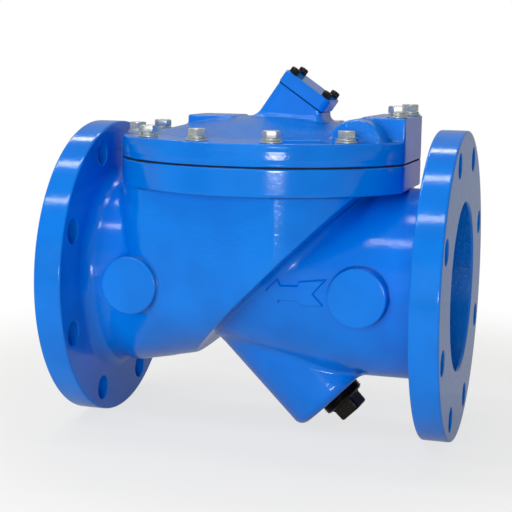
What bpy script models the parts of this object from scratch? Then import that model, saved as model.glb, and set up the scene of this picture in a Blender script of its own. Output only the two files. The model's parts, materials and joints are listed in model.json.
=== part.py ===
"""Swing non-return valve for a 150 mm pipe: flanged ductile iron body, rubber flapper on a 45 degree seat."""

import math

import bmesh
import bpy
from mathutils import Matrix, Vector

# X runs along the pipe, from the outlet at -X to the inlet at +X. Z is up.
# The origin is on the pipe's centre line, half way between the flange faces.
MM = 0.001

# Pipe flanges and the bores behind them
FACE_TO_FACE = 355.6 * MM
FLANGE_OD = 279.4 * MM
FLANGE_THICKNESS = 25.4 * MM
FLANGE_EDGE = 1.5 * MM
FLANGE_HOLE_TO_RIM = 19.05 * MM
FLANGE_HOLE_D = 22.2 * MM
FLANGE_HOLES = 8
PORT_D = 152.4 * MM
INLET_WALL = 10.3 * MM
OUTLET_WALL = 12.6 * MM
NECK_FILLET = 9 * MM

# Seat, tilted by 45 degrees. Its plane is x - z = SEAT_OFFSET.
SEAT_OFFSET = -4 * MM
SEAT_LIFT = 10 * MM
SEAT_BORE_R = 78 * MM
SEAT_LAND_WIDTH = 10 * MM
SEAT_LAND_HEIGHT = 2.8 * MM
SEAT_WALL = 7.1 * MM
SEAT_TUBE_WALL = 12 * MM
MITRE_START = 20 * MM
MITRE_LAP = 2 * MM

# Chamber: a trough with upright sides and a round floor, cut round by an upright cylinder
TROUGH_DATUM = -94 * MM
TROUGH_HALF_WIDTH = 102 * MM
TROUGH_WIDENS = 0.2083
TROUGH_DEPTH = 82.7 * MM
TROUGH_RISES = 0.217
TROUGH_LEFT = -142 * MM
TROUGH_RIGHT = 132 * MM
TROUGH_POINTS = 22
CHAMBER_INSET = 5 * MM
CHAMBER_CENTRE_X = -6 * MM
SIDE_WALL = 11 * MM
FLOOR_WALL = 9.5 * MM

# Bonnet flange of the body and the cover bolted on it
BONNET_R = 139 * MM
BONNET_CENTRE_X = -1.5 * MM
BONNET_FLAT_X = 130 * MM
BONNET_UNDERSIDE = 86 * MM
JOINT_Z = 110 * MM
JOINT_WIDTH = 24.5 * MM
ROOF_DROP = 2 * MM
BOLT_HOLE_FLOOR = 3 * MM
BOLT_END_ROOM = 2 * MM
GASKET_THICKNESS = 0.9 * MM
GAP = 0.3 * MM
COVER_PLATE = 19 * MM
COVER_EDGE = 2 * MM
DOME_INSET = 27 * MM
DOME_HEIGHT = 18.5 * MM
DOME_RINGS = 6
COVER_WALL = 13 * MM
COVER_HOLLOW_INSET = 16 * MM

# Cover fasteners
COVER_BOLTS = 12
COVER_BOLT_TO_RIM = 13.5 * MM
BOLT_D = 9.5 * MM
BOLT_HEAD_AF = 14.3 * MM
BOLT_HEAD_HEIGHT = 6.2 * MM
BOLT_HOLE_CLEARANCE = 0.35 * MM
WASHER_OD = 19 * MM
WASHER_THICKNESS = 1.6 * MM
SPRING_WASHER_OD = 16.4 * MM
SPRING_WASHER_THICKNESS = 2.3 * MM
SPRING_WASHER_SPLIT = 1.6 * MM
STACK_GAP = 0.1 * MM

# Raised forms on top of the cover
BLOCK_LEFT_X = 92 * MM
BLOCK_HALF_WIDTH = 43.5 * MM
BLOCK_HEIGHT = 20 * MM
HUMP_R = 24 * MM
HUMP_X = 92 * MM
HUMP_RISE = -4.5 * MM
HUMP_HALF_LENGTH = 77 * MM
PAD_LEFT_X = -77 * MM
PAD_RIGHT_X = -33 * MM
PAD_HALF_WIDTH = 27 * MM
PAD_HEIGHT = 18 * MM
FORM_EDGE = 2 * MM

# Pedestal of the position indicator's port, and its blank plate
PEDESTAL_TILT = math.radians(34.5)
PEDESTAL_X = 28.3 * MM
PEDESTAL_Z = 166.4 * MM
PEDESTAL_LENGTH = 48.6 * MM
PEDESTAL_WIDTH = 42 * MM
PEDESTAL_FOOT = 10 * MM
PEDESTAL_CORNER = 5 * MM
PORT_BORE_R = 12 * MM
PORT_BORE_DEPTH = 58 * MM
PLATE_THICKNESS = 12 * MM
PLATE_LIP = 0.7 * MM
PLATE_CORNER = 6 * MM
PLATE_EDGE = 1.4 * MM
SCREW_ALONG = 18.3 * MM
SCREW_ACROSS = 14.8 * MM
SCREW_D = 5 * MM
SCREW_HEAD_D = 8.5 * MM
SCREW_HEAD_HEIGHT = 5 * MM
SCREW_SOCKET_AF = 4 * MM
SCREW_SOCKET_DEPTH = 2.6 * MM
SCREW_GRIP = 11 * MM

# Round blind bosses on the body's sides
SIDE_BOSS_R = 25.5 * MM
SIDE_BOSS_ROOT = 58 * MM
INLET_BOSS_X = 101 * MM
INLET_BOSS_FACE = 97 * MM
OUTLET_BOSS_X = -102 * MM
OUTLET_BOSS_FACE = 107.5 * MM
SIDE_BOSS_EDGE = 2 * MM

# Boss under the body, square to the seat, and its plug
LOWER_BOSS_R = 47.5 * MM
LOWER_BOSS_SHIFT = -41.5 * MM
LOWER_BOSS_FACE = 124.2 * MM
LOWER_BOSS_ROOT = 20 * MM
LOWER_BOSS_EDGE = 8 * MM
PLUG_D = 42.2 * MM
PLUG_SHOWS = 9 * MM
PLUG_DEPTH = 15 * MM
PLUG_SQUARE = 23 * MM
PLUG_SQUARE_HEIGHT = 13 * MM
PLUG_TURN = math.radians(12.4)

# Flapper, hung on a pin that the body and the cover hold between them
HINGE_ARM = 124 * MM
FLAPPER_R = 92 * MM
FLAPPER_THICKNESS = 16 * MM
FLAPPER_CROWN = 3 * MM
BEAD_R = 83 * MM
BEAD_WIDTH = 8 * MM
BEAD_HEIGHT = 2.7 * MM
ARM_THICKNESS = 12 * MM
ARM_HALF_WIDTH = 50 * MM
ARM_REACH = 48 * MM
BARREL_R = 11 * MM
BARREL_HALF_LENGTH = 56 * MM
INSERT_R = 76 * MM
INSERT_THICKNESS = 8 * MM
INSERT_HOLE_R = 3 * MM
INSERT_HOLES = 4
INSERT_HOLE_CIRCLE_R = 52 * MM
PIN_R = 5 * MM
PIN_HALF_LENGTH = 73 * MM
PIN_CLEARANCE = 0.4 * MM
BARREL_CLEARANCE = 1 * MM
POCKET_LEFT = 14 * MM
POCKET_RIGHT = 13 * MM
POCKET_HALF_WIDTH = 60 * MM
ARM_ROOM_LEFT = 10 * MM
ARM_ROOM_HEIGHT = 5 * MM
HOLLOW_TO_BARREL = 8 * MM
OPEN_ANGLE = math.radians(35)
STOP_LEFT_X = -72 * MM
STOP_RIGHT_X = -42 * MM
STOP_HALF_WIDTH = 18 * MM
STOP_GAP = 0.6 * MM

BIG_ROUND = 56
MID_ROUND = 32
SMALL_ROUND = 16

# Sizes that follow from those above
FLANGE_BOLT_CIRCLE = FLANGE_OD - 2 * FLANGE_HOLE_TO_RIM
CHAMBER_R = BONNET_R - CHAMBER_INSET
BONNET_OPENING_R = BONNET_R - JOINT_WIDTH
COVER_BOLT_CIRCLE_R = BONNET_R - COVER_BOLT_TO_RIM
DOME_R = BONNET_R - DOME_INSET
COVER_HOLLOW_R = DOME_R - COVER_HOLLOW_INSET
HALF_LENGTH = FACE_TO_FACE / 2
FLANGE_BACK = HALF_LENGTH - FLANGE_THICKNESS
PORT_R = PORT_D / 2
INLET_R = PORT_R + INLET_WALL
OUTLET_R = PORT_R + OUTLET_WALL
SEAT_UP = Vector((-1, 0, 1)).normalized()
SEAT_ALONG = Vector((1, 0, 1)).normalized()
SEAT_DOWN = -SEAT_UP
SEAT_CENTRE = Vector((SEAT_OFFSET + SEAT_LIFT, 0, SEAT_LIFT)) + Vector((2 * MM, 0, 2 * MM))
SEAT_INNER = SEAT_CENTRE + SEAT_DOWN * SEAT_LAND_HEIGHT
SEAT_OUTER = SEAT_INNER + SEAT_DOWN * SEAT_WALL
SEAT_TUBE_R = SEAT_BORE_R + SEAT_TUBE_WALL
MITRE_POINT = Vector((MITRE_START, 0, 0))
MITRE_NORMAL = Vector((math.cos(math.radians(22.5)), 0, -math.sin(math.radians(22.5))))
COVER_BOTTOM = JOINT_Z + GASKET_THICKNESS + 2 * GAP
COVER_TOP = COVER_BOTTOM + COVER_PLATE
BLOCK_TOP = COVER_TOP + BLOCK_HEIGHT
BOLT_HOLE_R = BOLT_D / 2 + BOLT_HOLE_CLEARANCE
FLAPPER_MID = FLAPPER_THICKNESS / 2 + BEAD_HEIGHT + GAP
HINGE = SEAT_CENTRE + SEAT_ALONG * HINGE_ARM + SEAT_UP * FLAPPER_MID
SEAT_ANGLE = math.radians(45)
PLATE_NORMAL = Vector((math.sin(PEDESTAL_TILT), 0, math.cos(PEDESTAL_TILT)))
PLATE_ALONG = Vector((math.cos(PEDESTAL_TILT), 0, -math.sin(PEDESTAL_TILT)))
PEDESTAL_FACE = Vector((PEDESTAL_X, 0, PEDESTAL_Z))
LOWER_BOSS_AXIS_POINT = Vector((LOWER_BOSS_SHIFT / 2, 0, LOWER_BOSS_SHIFT / 2))


def collection(name):
    made = bpy.data.collections.new(name)
    bpy.context.scene.collection.children.link(made)
    return made


def clear_scene():
    for obj in list(bpy.data.objects):
        bpy.data.objects.remove(obj, do_unlink=True)


def material(name, colour, roughness, metallic):
    made = bpy.data.materials.new(name)
    made.use_nodes = True
    shader = made.node_tree.nodes["Principled BSDF"]
    shader.inputs["Base Color"].default_value = (*colour, 1)
    shader.inputs["Roughness"].default_value = roughness
    shader.inputs["Metallic"].default_value = metallic
    made.diffuse_color = (*colour, 1)
    return made


def add_object(name, mesh, parent=None):
    obj = bpy.data.objects.new(name, mesh)
    PARTS.objects.link(obj)
    obj.parent = parent
    return obj


def from_bmesh(name, bm, parent=None):
    mesh = bpy.data.meshes.new(name)
    bmesh.ops.recalc_face_normals(bm, faces=bm.faces)
    bm.to_mesh(mesh)
    bm.free()
    return add_object(name, mesh, parent)


def facing(axis):
    """A rotation that takes +Z to this axis, with local X kept in the XZ plane."""
    z_axis = Vector(axis).normalized()
    if abs(z_axis.y) > 0.9:
        x_axis = Vector((1, 0, 0))
    else:
        x_axis = Vector((0, 1, 0)).cross(z_axis).normalized()
    return Matrix((x_axis, z_axis.cross(x_axis), z_axis)).transposed().to_4x4()


def cylinder(name, radius, start, end, segments=MID_ROUND, parent=None):
    start, end = Vector(start), Vector(end)
    bm = bmesh.new()
    bmesh.ops.create_cone(
        bm, cap_ends=True, segments=segments, radius1=radius, radius2=radius, depth=(end - start).length
    )
    place = Matrix.Translation((start + end) / 2) @ facing(end - start)
    bmesh.ops.transform(bm, matrix=place, verts=bm.verts)
    return from_bmesh(name, bm, parent)


def box(name, low, high, parent=None):
    low, high = Vector(low), Vector(high)
    bm = bmesh.new()
    bmesh.ops.create_cube(bm, size=1)
    place = Matrix.Translation((low + high) / 2) @ Matrix.Diagonal((*(high - low), 1))
    bmesh.ops.transform(bm, matrix=place, verts=bm.verts)
    return from_bmesh(name, bm, parent)


def baked(obj):
    """Swaps the object's modifiers for the mesh that they make, with its loose copies welded."""
    graph = bpy.context.evaluated_depsgraph_get()
    mesh = bpy.data.meshes.new_from_object(obj.evaluated_get(graph))
    bm = bmesh.new()
    bm.from_mesh(mesh)
    bmesh.ops.remove_doubles(bm, verts=bm.verts, dist=5e-6)
    bmesh.ops.recalc_face_normals(bm, faces=bm.faces)
    bm.to_mesh(mesh)
    bm.free()
    obj.modifiers.clear()
    obj.data = mesh
    return obj


def turned(name, profile, origin, axis, segments=BIG_ROUND, parent=None):
    """A solid of revolution. The profile holds (radius, height) from its top, down its outer side."""
    mesh = bpy.data.meshes.new(name)
    points = [(radius, 0, height) for radius, height in profile]
    closed_loop = all(radius > 0 for radius, _ in profile)
    edges = [(i, i + 1) for i in range(len(points) - 1)]
    if closed_loop:
        edges.append((len(points) - 1, 0))
    mesh.from_pydata(points, edges, [])
    obj = add_object(name, mesh)
    screw = obj.modifiers.new("turn", "SCREW")
    screw.steps = segments
    screw.render_steps = segments
    screw.use_merge_vertices = True
    screw.merge_threshold = 0.00001
    baked(obj)
    place = Matrix.Translation(Vector(origin)) @ facing(axis)
    obj.data.transform(place)
    obj.parent = parent
    return obj


def cut_off(obj, point, normal):
    """Removes what lies on the normal's side of a plane and closes the cut."""
    bm = bmesh.new()
    bm.from_mesh(obj.data)
    everything = list(bm.verts) + list(bm.edges) + list(bm.faces)
    cut = bmesh.ops.bisect_plane(
        bm, geom=everything, dist=1e-7, plane_co=Vector(point), plane_no=Vector(normal), clear_outer=True
    )
    rim = [item for item in cut["geom_cut"] if isinstance(item, bmesh.types.BMEdge)]
    bmesh.ops.holes_fill(bm, edges=rim, sides=0)
    bmesh.ops.recalc_face_normals(bm, faces=bm.faces)
    bm.to_mesh(obj.data)
    bm.free()
    return obj


def rounded_edges(obj, width, segments=2, keep=lambda edge: True):
    """Bevels the sharp edges that keep chooses."""
    bm = bmesh.new()
    bm.from_mesh(obj.data)
    sharp = [e for e in bm.edges if e.calc_face_angle(0) > math.radians(50) and keep(e)]
    bmesh.ops.bevel(
        bm, geom=sharp, offset=width, segments=segments, profile=0.5, affect="EDGES", clamp_overlap=True
    )
    bm.to_mesh(obj.data)
    bm.free()
    return obj


def helper(obj):
    """Puts an object that only cuts or joins others among the cutters."""
    PARTS.objects.unlink(obj)
    CUTTERS.objects.link(obj)
    obj.hide_render = True
    obj.display_type = "WIRE"
    return obj


def combine(target, operation, tools):
    for tool in tools:
        step = target.modifiers.new(f"{operation.lower()}_{tool.name}", "BOOLEAN")
        step.operation = operation
        step.solver = "EXACT"
        step.object = helper(tool)
    return target


def joined(name, pieces):
    """One mesh that holds several pieces which don't touch, so that one Boolean cuts them all."""
    bm = bmesh.new()
    for piece in pieces:
        bm.from_mesh(piece.data)
        bpy.data.objects.remove(piece, do_unlink=True)
    return from_bmesh(name, bm)


def finished(obj, finish):
    obj.data.materials.clear()
    obj.data.materials.append(finish)
    obj.data.shade_smooth()
    obj.data.set_sharp_from_angle(angle=math.radians(35))
    return obj


def arc(centre, radius, start, end, steps):
    """Points on an arc, its angles in degrees."""
    turns = [math.radians(start + (end - start) * i / steps) for i in range(steps + 1)]
    return [(centre[0] + radius * math.cos(t), centre[1] + radius * math.sin(t)) for t in turns]


# Body

def trough_section(x, side_inset, floor_inset, top):
    half = TROUGH_HALF_WIDTH + TROUGH_WIDENS * (x - TROUGH_DATUM) - side_inset
    depth = TROUGH_DEPTH - TROUGH_RISES * (x - TROUGH_DATUM) - floor_inset
    floor = [
        (half * math.cos(t), depth * math.sin(t))
        for t in (-math.pi * i / TROUGH_POINTS for i in range(TROUGH_POINTS + 1))
    ]
    return [(x, y, z) for y, z in [(half, top), *floor, (-half, top)]]


def trough(name, side_inset, floor_inset, top):
    """The chamber's trough, lofted between its two end sections."""
    bm = bmesh.new()
    ends = [
        [bm.verts.new(p) for p in trough_section(x, side_inset, floor_inset, top)]
        for x in (TROUGH_LEFT, TROUGH_RIGHT)
    ]
    for end in ends:
        bm.faces.new(end)
    count = len(ends[0])
    for i in range(count):
        j = (i + 1) % count
        bm.faces.new((ends[0][i], ends[0][j], ends[1][j], ends[1][i]))
    bmesh.ops.triangulate(bm, faces=bm.faces)
    return from_bmesh(name, bm)


def upright(name, radius, centre_x, low, high, segments=BIG_ROUND):
    return cylinder(name, radius, (centre_x, 0, low), (centre_x, 0, high), segments)


def chamber(name, side_inset, floor_inset, top):
    """The trough within its upright cylinder."""
    made = trough(name, side_inset, floor_inset, top)
    round_side = upright(name + "_round", CHAMBER_R - side_inset, CHAMBER_CENTRE_X, -HALF_LENGTH, HALF_LENGTH)
    return baked(combine(made, "INTERSECT", [round_side]))


def flanged_pipe(name, side, radius, inner_end):
    """A pipe end with its flange and fillet, along +X or -X."""
    rim = FLANGE_OD / 2
    fillet = [
        (radius + NECK_FILLET - r, h)
        for r, h in arc((0, FLANGE_BACK - NECK_FILLET), NECK_FILLET, 90, 0, 2)
    ]
    profile = [
        (0, HALF_LENGTH),
        (rim - FLANGE_EDGE, HALF_LENGTH),
        (rim, HALF_LENGTH - FLANGE_EDGE),
        (rim, FLANGE_BACK + FLANGE_EDGE),
        (rim - FLANGE_EDGE, FLANGE_BACK),
        *fillet,
        (radius, inner_end),
        (0, inner_end),
    ]
    return turned(name, profile, (0, 0, 0), (side, 0, 0))


def bonnet_plate(name, low, high, radius=BONNET_R, flat_x=BONNET_FLAT_X):
    plate = upright(name, radius, BONNET_CENTRE_X, low, high, 72)
    return cut_off(plate, (flat_x, 0, 0), (1, 0, 0))


def bolt_places():
    """Centre of each cover bolt, and the height of the face that its washer rests on."""
    places = []
    for i in range(COVER_BOLTS):
        turn = 2 * math.pi * (i + 0.5) / COVER_BOLTS
        x = BONNET_CENTRE_X + COVER_BOLT_CIRCLE_R * math.cos(turn)
        y = COVER_BOLT_CIRCLE_R * math.sin(turn)
        on_block = x > BLOCK_LEFT_X and abs(y) < BLOCK_HALF_WIDTH
        places.append((x, y, BLOCK_TOP if on_block else COVER_TOP, turn))
    return places


def bolt_holes(name, low, high):
    holes = [
        cylinder(f"{name}_{i}", BOLT_HOLE_R, (x, y, low), (x, y, high), SMALL_ROUND)
        for i, (x, y, _, _) in enumerate(bolt_places())
    ]
    return joined(name, holes)


def flange_holes():
    holes = []
    for side in (-1, 1):
        for i in range(FLANGE_HOLES):
            turn = 2 * math.pi * (i + 0.5) / FLANGE_HOLES
            y = FLANGE_BOLT_CIRCLE / 2 * math.cos(turn)
            z = FLANGE_BOLT_CIRCLE / 2 * math.sin(turn)
            start = (side * (FLANGE_BACK - MM), y, z)
            end = (side * (HALF_LENGTH + MM), y, z)
            holes.append(cylinder(f"flange_hole_{side}_{i}", FLANGE_HOLE_D / 2, start, end, SMALL_ROUND))
    return joined("flange_holes", holes)


def side_boss(name, x, face, side):
    boss = cylinder(name, SIDE_BOSS_R, (x, side * SIDE_BOSS_ROOT, 0), (x, side * face, 0), MID_ROUND)
    return rounded_edges(boss, SIDE_BOSS_EDGE, 1, lambda e: min(abs(v.co.y) for v in e.verts) > face - MM)


def lower_boss_point(along):
    """A point on the lower boss's axis, this far from the plane through the origin."""
    return LOWER_BOSS_AXIS_POINT + SEAT_DOWN * along


def lower_boss():
    boss = cylinder(
        "lower_boss", LOWER_BOSS_R, lower_boss_point(LOWER_BOSS_ROOT), lower_boss_point(LOWER_BOSS_FACE), MID_ROUND
    )
    face = LOWER_BOSS_FACE - MM
    return rounded_edges(boss, LOWER_BOSS_EDGE, 3, lambda e: min(v.co.dot(SEAT_DOWN) for v in e.verts) > face)


def seat_tube(name, radius, start, lap):
    """The round way behind the seat, as far as the mitre where it meets the straight pipe."""
    far = start + SEAT_DOWN * FACE_TO_FACE
    tube = cylinder(name, radius, start, far, BIG_ROUND)
    return cut_off(tube, MITRE_POINT + MITRE_NORMAL * lap, MITRE_NORMAL)


def inlet_bore():
    bore = cylinder("inlet_bore", PORT_R, (-HALF_LENGTH, 0, 0), (HALF_LENGTH + MM, 0, 0), BIG_ROUND)
    cut_off(bore, MITRE_POINT - MITRE_NORMAL * MITRE_LAP, -MITRE_NORMAL)
    return cut_off(bore, SEAT_OUTER + SEAT_DOWN * MM, SEAT_UP)


def hinge_way(name, radius, half_length, drop):
    """A slot with a round bottom for the hinge, open at its top by drop above the hinge line."""
    low = HINGE - Vector((0, half_length, 0))
    high = HINGE + Vector((0, half_length, 0))
    way = cylinder(name + "_round", radius, low, high, SMALL_ROUND)
    slot = box(name, (HINGE.x - radius, -half_length, HINGE.z), (HINGE.x + radius, half_length, HINGE.z + drop))
    return baked(combine(slot, "UNION", [way]))


def chamber_hollow():
    """The space inside the chamber, the bonnet opening and the hinge pocket, as far as the seat's wall."""
    hollow = chamber("chamber_hollow", SIDE_WALL, FLOOR_WALL, BONNET_UNDERSIDE - ROOF_DROP)
    opening = upright("bonnet_opening", BONNET_OPENING_R, BONNET_CENTRE_X, BONNET_UNDERSIDE - 6 * MM, JOINT_Z + MM)
    pocket = box(
        "hinge_pocket",
        (HINGE.x - POCKET_LEFT, -POCKET_HALF_WIDTH, BONNET_UNDERSIDE - 5 * MM),
        (HINGE.x + POCKET_RIGHT, POCKET_HALF_WIDTH, JOINT_Z + MM),
    )
    baked(combine(hollow, "UNION", [opening, pocket]))
    return cut_off(hollow, SEAT_INNER, SEAT_DOWN)


def seat_land():
    outer = SEAT_BORE_R + SEAT_LAND_WIDTH
    bottom = -SEAT_LAND_HEIGHT - MM
    edge = 1 * MM
    profile = [
        (outer - edge, 0),
        (outer, -edge),
        (outer, bottom),
        (SEAT_BORE_R, bottom),
        (SEAT_BORE_R, -edge),
        (SEAT_BORE_R + edge, 0),
    ]
    return turned("seat_land", profile, SEAT_CENTRE, SEAT_UP)


def valve_body():
    body = cut_off(chamber("valve_body", 0, 0, BONNET_UNDERSIDE + MM), SEAT_OUTER, SEAT_DOWN)
    inlet = flanged_pipe("inlet_pipe", 1, INLET_R, -HALF_LENGTH / 2)
    cut_off(inlet, MITRE_POINT - MITRE_NORMAL * MITRE_LAP / 2, -MITRE_NORMAL)
    outlet = flanged_pipe("outlet_pipe", -1, OUTLET_R, -TROUGH_DATUM)
    boss_roots = [
        side_boss("inlet_boss_front", INLET_BOSS_X, INLET_BOSS_FACE, -1),
        side_boss("inlet_boss_back", INLET_BOSS_X, INLET_BOSS_FACE, 1),
        side_boss("outlet_boss_front", OUTLET_BOSS_X, OUTLET_BOSS_FACE, -1),
        side_boss("outlet_boss_back", OUTLET_BOSS_X, OUTLET_BOSS_FACE, 1),
    ]
    combine(
        body,
        "UNION",
        [
            inlet,
            outlet,
            lower_boss(),
            seat_tube("seat_tube", SEAT_TUBE_R, SEAT_OUTER + SEAT_UP * MM, MITRE_LAP / 2),
            bonnet_plate("bonnet_flange", BONNET_UNDERSIDE, JOINT_Z),
            *boss_roots,
        ],
    )
    plug_hole = cylinder(
        "plug_hole",
        PLUG_D / 2 + GAP,
        lower_boss_point(PORT_R),
        lower_boss_point(LOWER_BOSS_FACE + MM),
        MID_ROUND,
    )
    combine(
        body,
        "DIFFERENCE",
        [
            chamber_hollow(),
            seat_tube("seat_bore", SEAT_BORE_R, SEAT_INNER + SEAT_UP * 4 * MM, MITRE_LAP),
            inlet_bore(),
            cylinder("outlet_bore", PORT_R, (-HALF_LENGTH - MM, 0, 0), (TROUGH_DATUM, 0, 0), BIG_ROUND),
            plug_hole,
            hinge_way("pin_way", PIN_R + PIN_CLEARANCE, PIN_HALF_LENGTH + MM, JOINT_Z - HINGE.z + MM),
            flange_holes(),
            bolt_holes("body_bolt_holes", BONNET_UNDERSIDE + BOLT_HOLE_FLOOR, JOINT_Z + MM),
        ],
    )
    combine(body, "UNION", [seat_land()])
    return finished(body, PAINT)


# Cover

def dome_profile(base_r, height, base_z):
    rings = [base_r * i / DOME_RINGS for i in range(DOME_RINGS + 1)]
    return [(r, base_z + height * (1 - (r / base_r) ** 2)) for r in rings]


def dome(name, base_r, height, base_z, skirt):
    profile = [*dome_profile(base_r, height, base_z), (base_r, base_z - skirt), (0, base_z - skirt)]
    return turned(name, profile, (BONNET_CENTRE_X, 0, 0), (0, 0, 1))


def cover_hollow():
    """The space under the dome. The cover stays solid above the hinge."""
    height = COVER_TOP + DOME_HEIGHT - COVER_WALL - COVER_BOTTOM
    hollow = dome("cover_hollow", COVER_HOLLOW_R, height, COVER_BOTTOM, MM)
    return cut_off(hollow, (HINGE.x - BARREL_R - HOLLOW_TO_BARREL, 0, 0), (1, 0, 0))


def pedestal():
    """The leaning block under the indicator port: one side square to the plate, the other upright."""
    half = PEDESTAL_LENGTH / 2
    left = PEDESTAL_FACE - PLATE_ALONG * half
    right = PEDESTAL_FACE + PLATE_ALONG * half
    foot = COVER_TOP + PEDESTAL_FOOT
    left_foot = left - PLATE_NORMAL * ((left.z - foot) / PLATE_NORMAL.z)
    outline = [left_foot, left, right, Vector((right.x, 0, foot))]
    bm = bmesh.new()
    face = bm.faces.new([bm.verts.new(p + Vector((0, -PEDESTAL_WIDTH / 2, 0))) for p in outline])
    grown = bmesh.ops.extrude_face_region(bm, geom=[face])
    moved = [v for v in grown["geom"] if isinstance(v, bmesh.types.BMVert)]
    bmesh.ops.translate(bm, vec=(0, PEDESTAL_WIDTH, 0), verts=moved)
    block = from_bmesh("pedestal", bm)

    def side_corner(edge):
        along = (edge.verts[1].co - edge.verts[0].co).normalized()
        return abs(along.dot(PLATE_ALONG)) < 0.9 and abs(along.y) < 0.1 and abs(along.x) < 0.9

    return rounded_edges(block, PEDESTAL_CORNER, 3, side_corner)


def raised_box(name, low, high):
    return rounded_edges(box(name, low, high), FORM_EDGE, 2, lambda e: max(v.co.z for v in e.verts) > high[2] - MM)


def hump():
    """The half-round rise over the hinge."""
    middle = COVER_TOP + HUMP_RISE
    made = cylinder(
        "hump", HUMP_R, (HUMP_X, -HUMP_HALF_LENGTH, middle), (HUMP_X, HUMP_HALF_LENGTH, middle), MID_ROUND
    )
    return cut_off(made, (0, 0, COVER_BOTTOM + 5 * MM), (0, 0, -1))


def stop_lug():
    """The lug inside the cover that the open flapper meets."""
    lug = box(
        "stop_lug",
        (STOP_LEFT_X, -STOP_HALF_WIDTH, 0),
        (STOP_RIGHT_X, STOP_HALF_WIDTH, COVER_TOP + 4 * MM),
    )
    swing = Matrix.Rotation(OPEN_ANGLE, 3, "Y")
    up_when_open = swing @ SEAT_UP
    point = HINGE + up_when_open * (FLAPPER_THICKNESS / 2 + FLAPPER_CROWN + STOP_GAP)
    return cut_off(lug, point, -up_when_open)


def screw_places():
    return [(SCREW_ALONG * a, SCREW_ACROSS * b) for a in (-1, 1) for b in (-1, 1)]


def plate_point(along, across, up):
    """A point over the pedestal's face, measured along and across it and out from it."""
    return PEDESTAL_FACE + PLATE_ALONG * along + Vector((0, across, 0)) + PLATE_NORMAL * up


def port_bores(name, low, high, centre_low):
    bores = [
        cylinder(f"{name}_{i}", SCREW_D / 2 + GAP, plate_point(a, b, low), plate_point(a, b, high), 16)
        for i, (a, b) in enumerate(screw_places())
    ]
    if centre_low is not None:
        bores.append(
            cylinder(name + "_port", PORT_BORE_R, plate_point(0, 0, centre_low), plate_point(0, 0, high), 32)
        )
    return joined(name, bores)


def bonnet_cover():
    cover = rounded_edges(
        bonnet_plate("bonnet_cover", COVER_BOTTOM, COVER_TOP),
        COVER_EDGE,
        2,
        lambda e: min(v.co.z for v in e.verts) > COVER_TOP - MM and max(v.co.x for v in e.verts) < BONNET_FLAT_X - MM,
    )
    combine(
        cover,
        "UNION",
        [
            dome("dome", DOME_R, DOME_HEIGHT, COVER_TOP, 3 * MM),
            hump(),
            raised_box(
                "block",
                (BLOCK_LEFT_X, -BLOCK_HALF_WIDTH, COVER_BOTTOM + 4 * MM),
                (BONNET_FLAT_X, BLOCK_HALF_WIDTH, BLOCK_TOP),
            ),
            raised_box(
                "pad",
                (PAD_LEFT_X, -PAD_HALF_WIDTH, COVER_BOTTOM + 8 * MM),
                (PAD_RIGHT_X, PAD_HALF_WIDTH, COVER_TOP + PAD_HEIGHT),
            ),
            pedestal(),
        ],
    )
    combine(
        cover,
        "DIFFERENCE",
        [
            cover_hollow(),
            hinge_way("barrel_way_above", BARREL_R + BARREL_CLEARANCE, POCKET_HALF_WIDTH, MM),
            hinge_way("pin_way_above", PIN_R + PIN_CLEARANCE, PIN_HALF_LENGTH + MM, MM),
            box(
                "arm_room",
                (HINGE.x - BARREL_R - ARM_ROOM_LEFT, -POCKET_HALF_WIDTH, COVER_BOTTOM - MM),
                (HINGE.x, POCKET_HALF_WIDTH, COVER_BOTTOM + ARM_ROOM_HEIGHT),
            ),
            bolt_holes("cover_bolt_holes", COVER_BOTTOM - MM, BLOCK_TOP + MM),
            port_bores("pedestal_bores", -SCREW_GRIP, MM, -PORT_BORE_DEPTH),
        ],
    )
    combine(cover, "UNION", [stop_lug()])
    return finished(cover, PAINT)


def cover_gasket():
    gasket = bonnet_plate("cover_gasket", JOINT_Z + GAP, JOINT_Z + GAP + GASKET_THICKNESS)
    opening = upright("gasket_opening", BONNET_OPENING_R, BONNET_CENTRE_X, JOINT_Z, COVER_BOTTOM)
    pocket = box(
        "gasket_pocket",
        (HINGE.x - POCKET_LEFT, -PIN_HALF_LENGTH - MM, JOINT_Z),
        (HINGE.x + POCKET_RIGHT, PIN_HALF_LENGTH + MM, COVER_BOTTOM),
    )
    combine(gasket, "DIFFERENCE", [opening, pocket, bolt_holes("gasket_bolt_holes", JOINT_Z, COVER_BOTTOM)])
    return finished(gasket, GASKET)


# Fasteners

def hex_bolt_mesh(length):
    """A hexagon head bolt whose head rests on the plane z = 0."""
    head = cylinder(
        "bolt_head", BOLT_HEAD_AF / math.sqrt(3), (0, 0, 0), (0, 0, BOLT_HEAD_HEIGHT), 6
    )
    chamfer = BOLT_HEAD_AF / 2 * 1.18
    crown = turned(
        "bolt_crown",
        [
            (0, BOLT_HEAD_HEIGHT + MM),
            (BOLT_HEAD_AF / 2 * 0.95, BOLT_HEAD_HEIGHT + 0.1 * MM),
            (chamfer, BOLT_HEAD_HEIGHT - 1.3 * MM),
            (chamfer, -MM),
            (0, -MM),
        ],
        (0, 0, 0),
        (0, 0, 1),
        18,
    )
    shank = cylinder("bolt_shank", BOLT_D / 2, (0, 0, -length), (0, 0, BOLT_HEAD_HEIGHT / 2), SMALL_ROUND)
    combine(head, "INTERSECT", [crown])
    combine(head, "UNION", [shank])
    return baked(head)


def ring(name, outer_r, inner_r, thickness, segments):
    profile = [(outer_r, thickness), (outer_r, 0), (inner_r, 0), (inner_r, thickness)]
    return turned(name, profile, (0, 0, 0), (0, 0, 1), segments)


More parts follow.
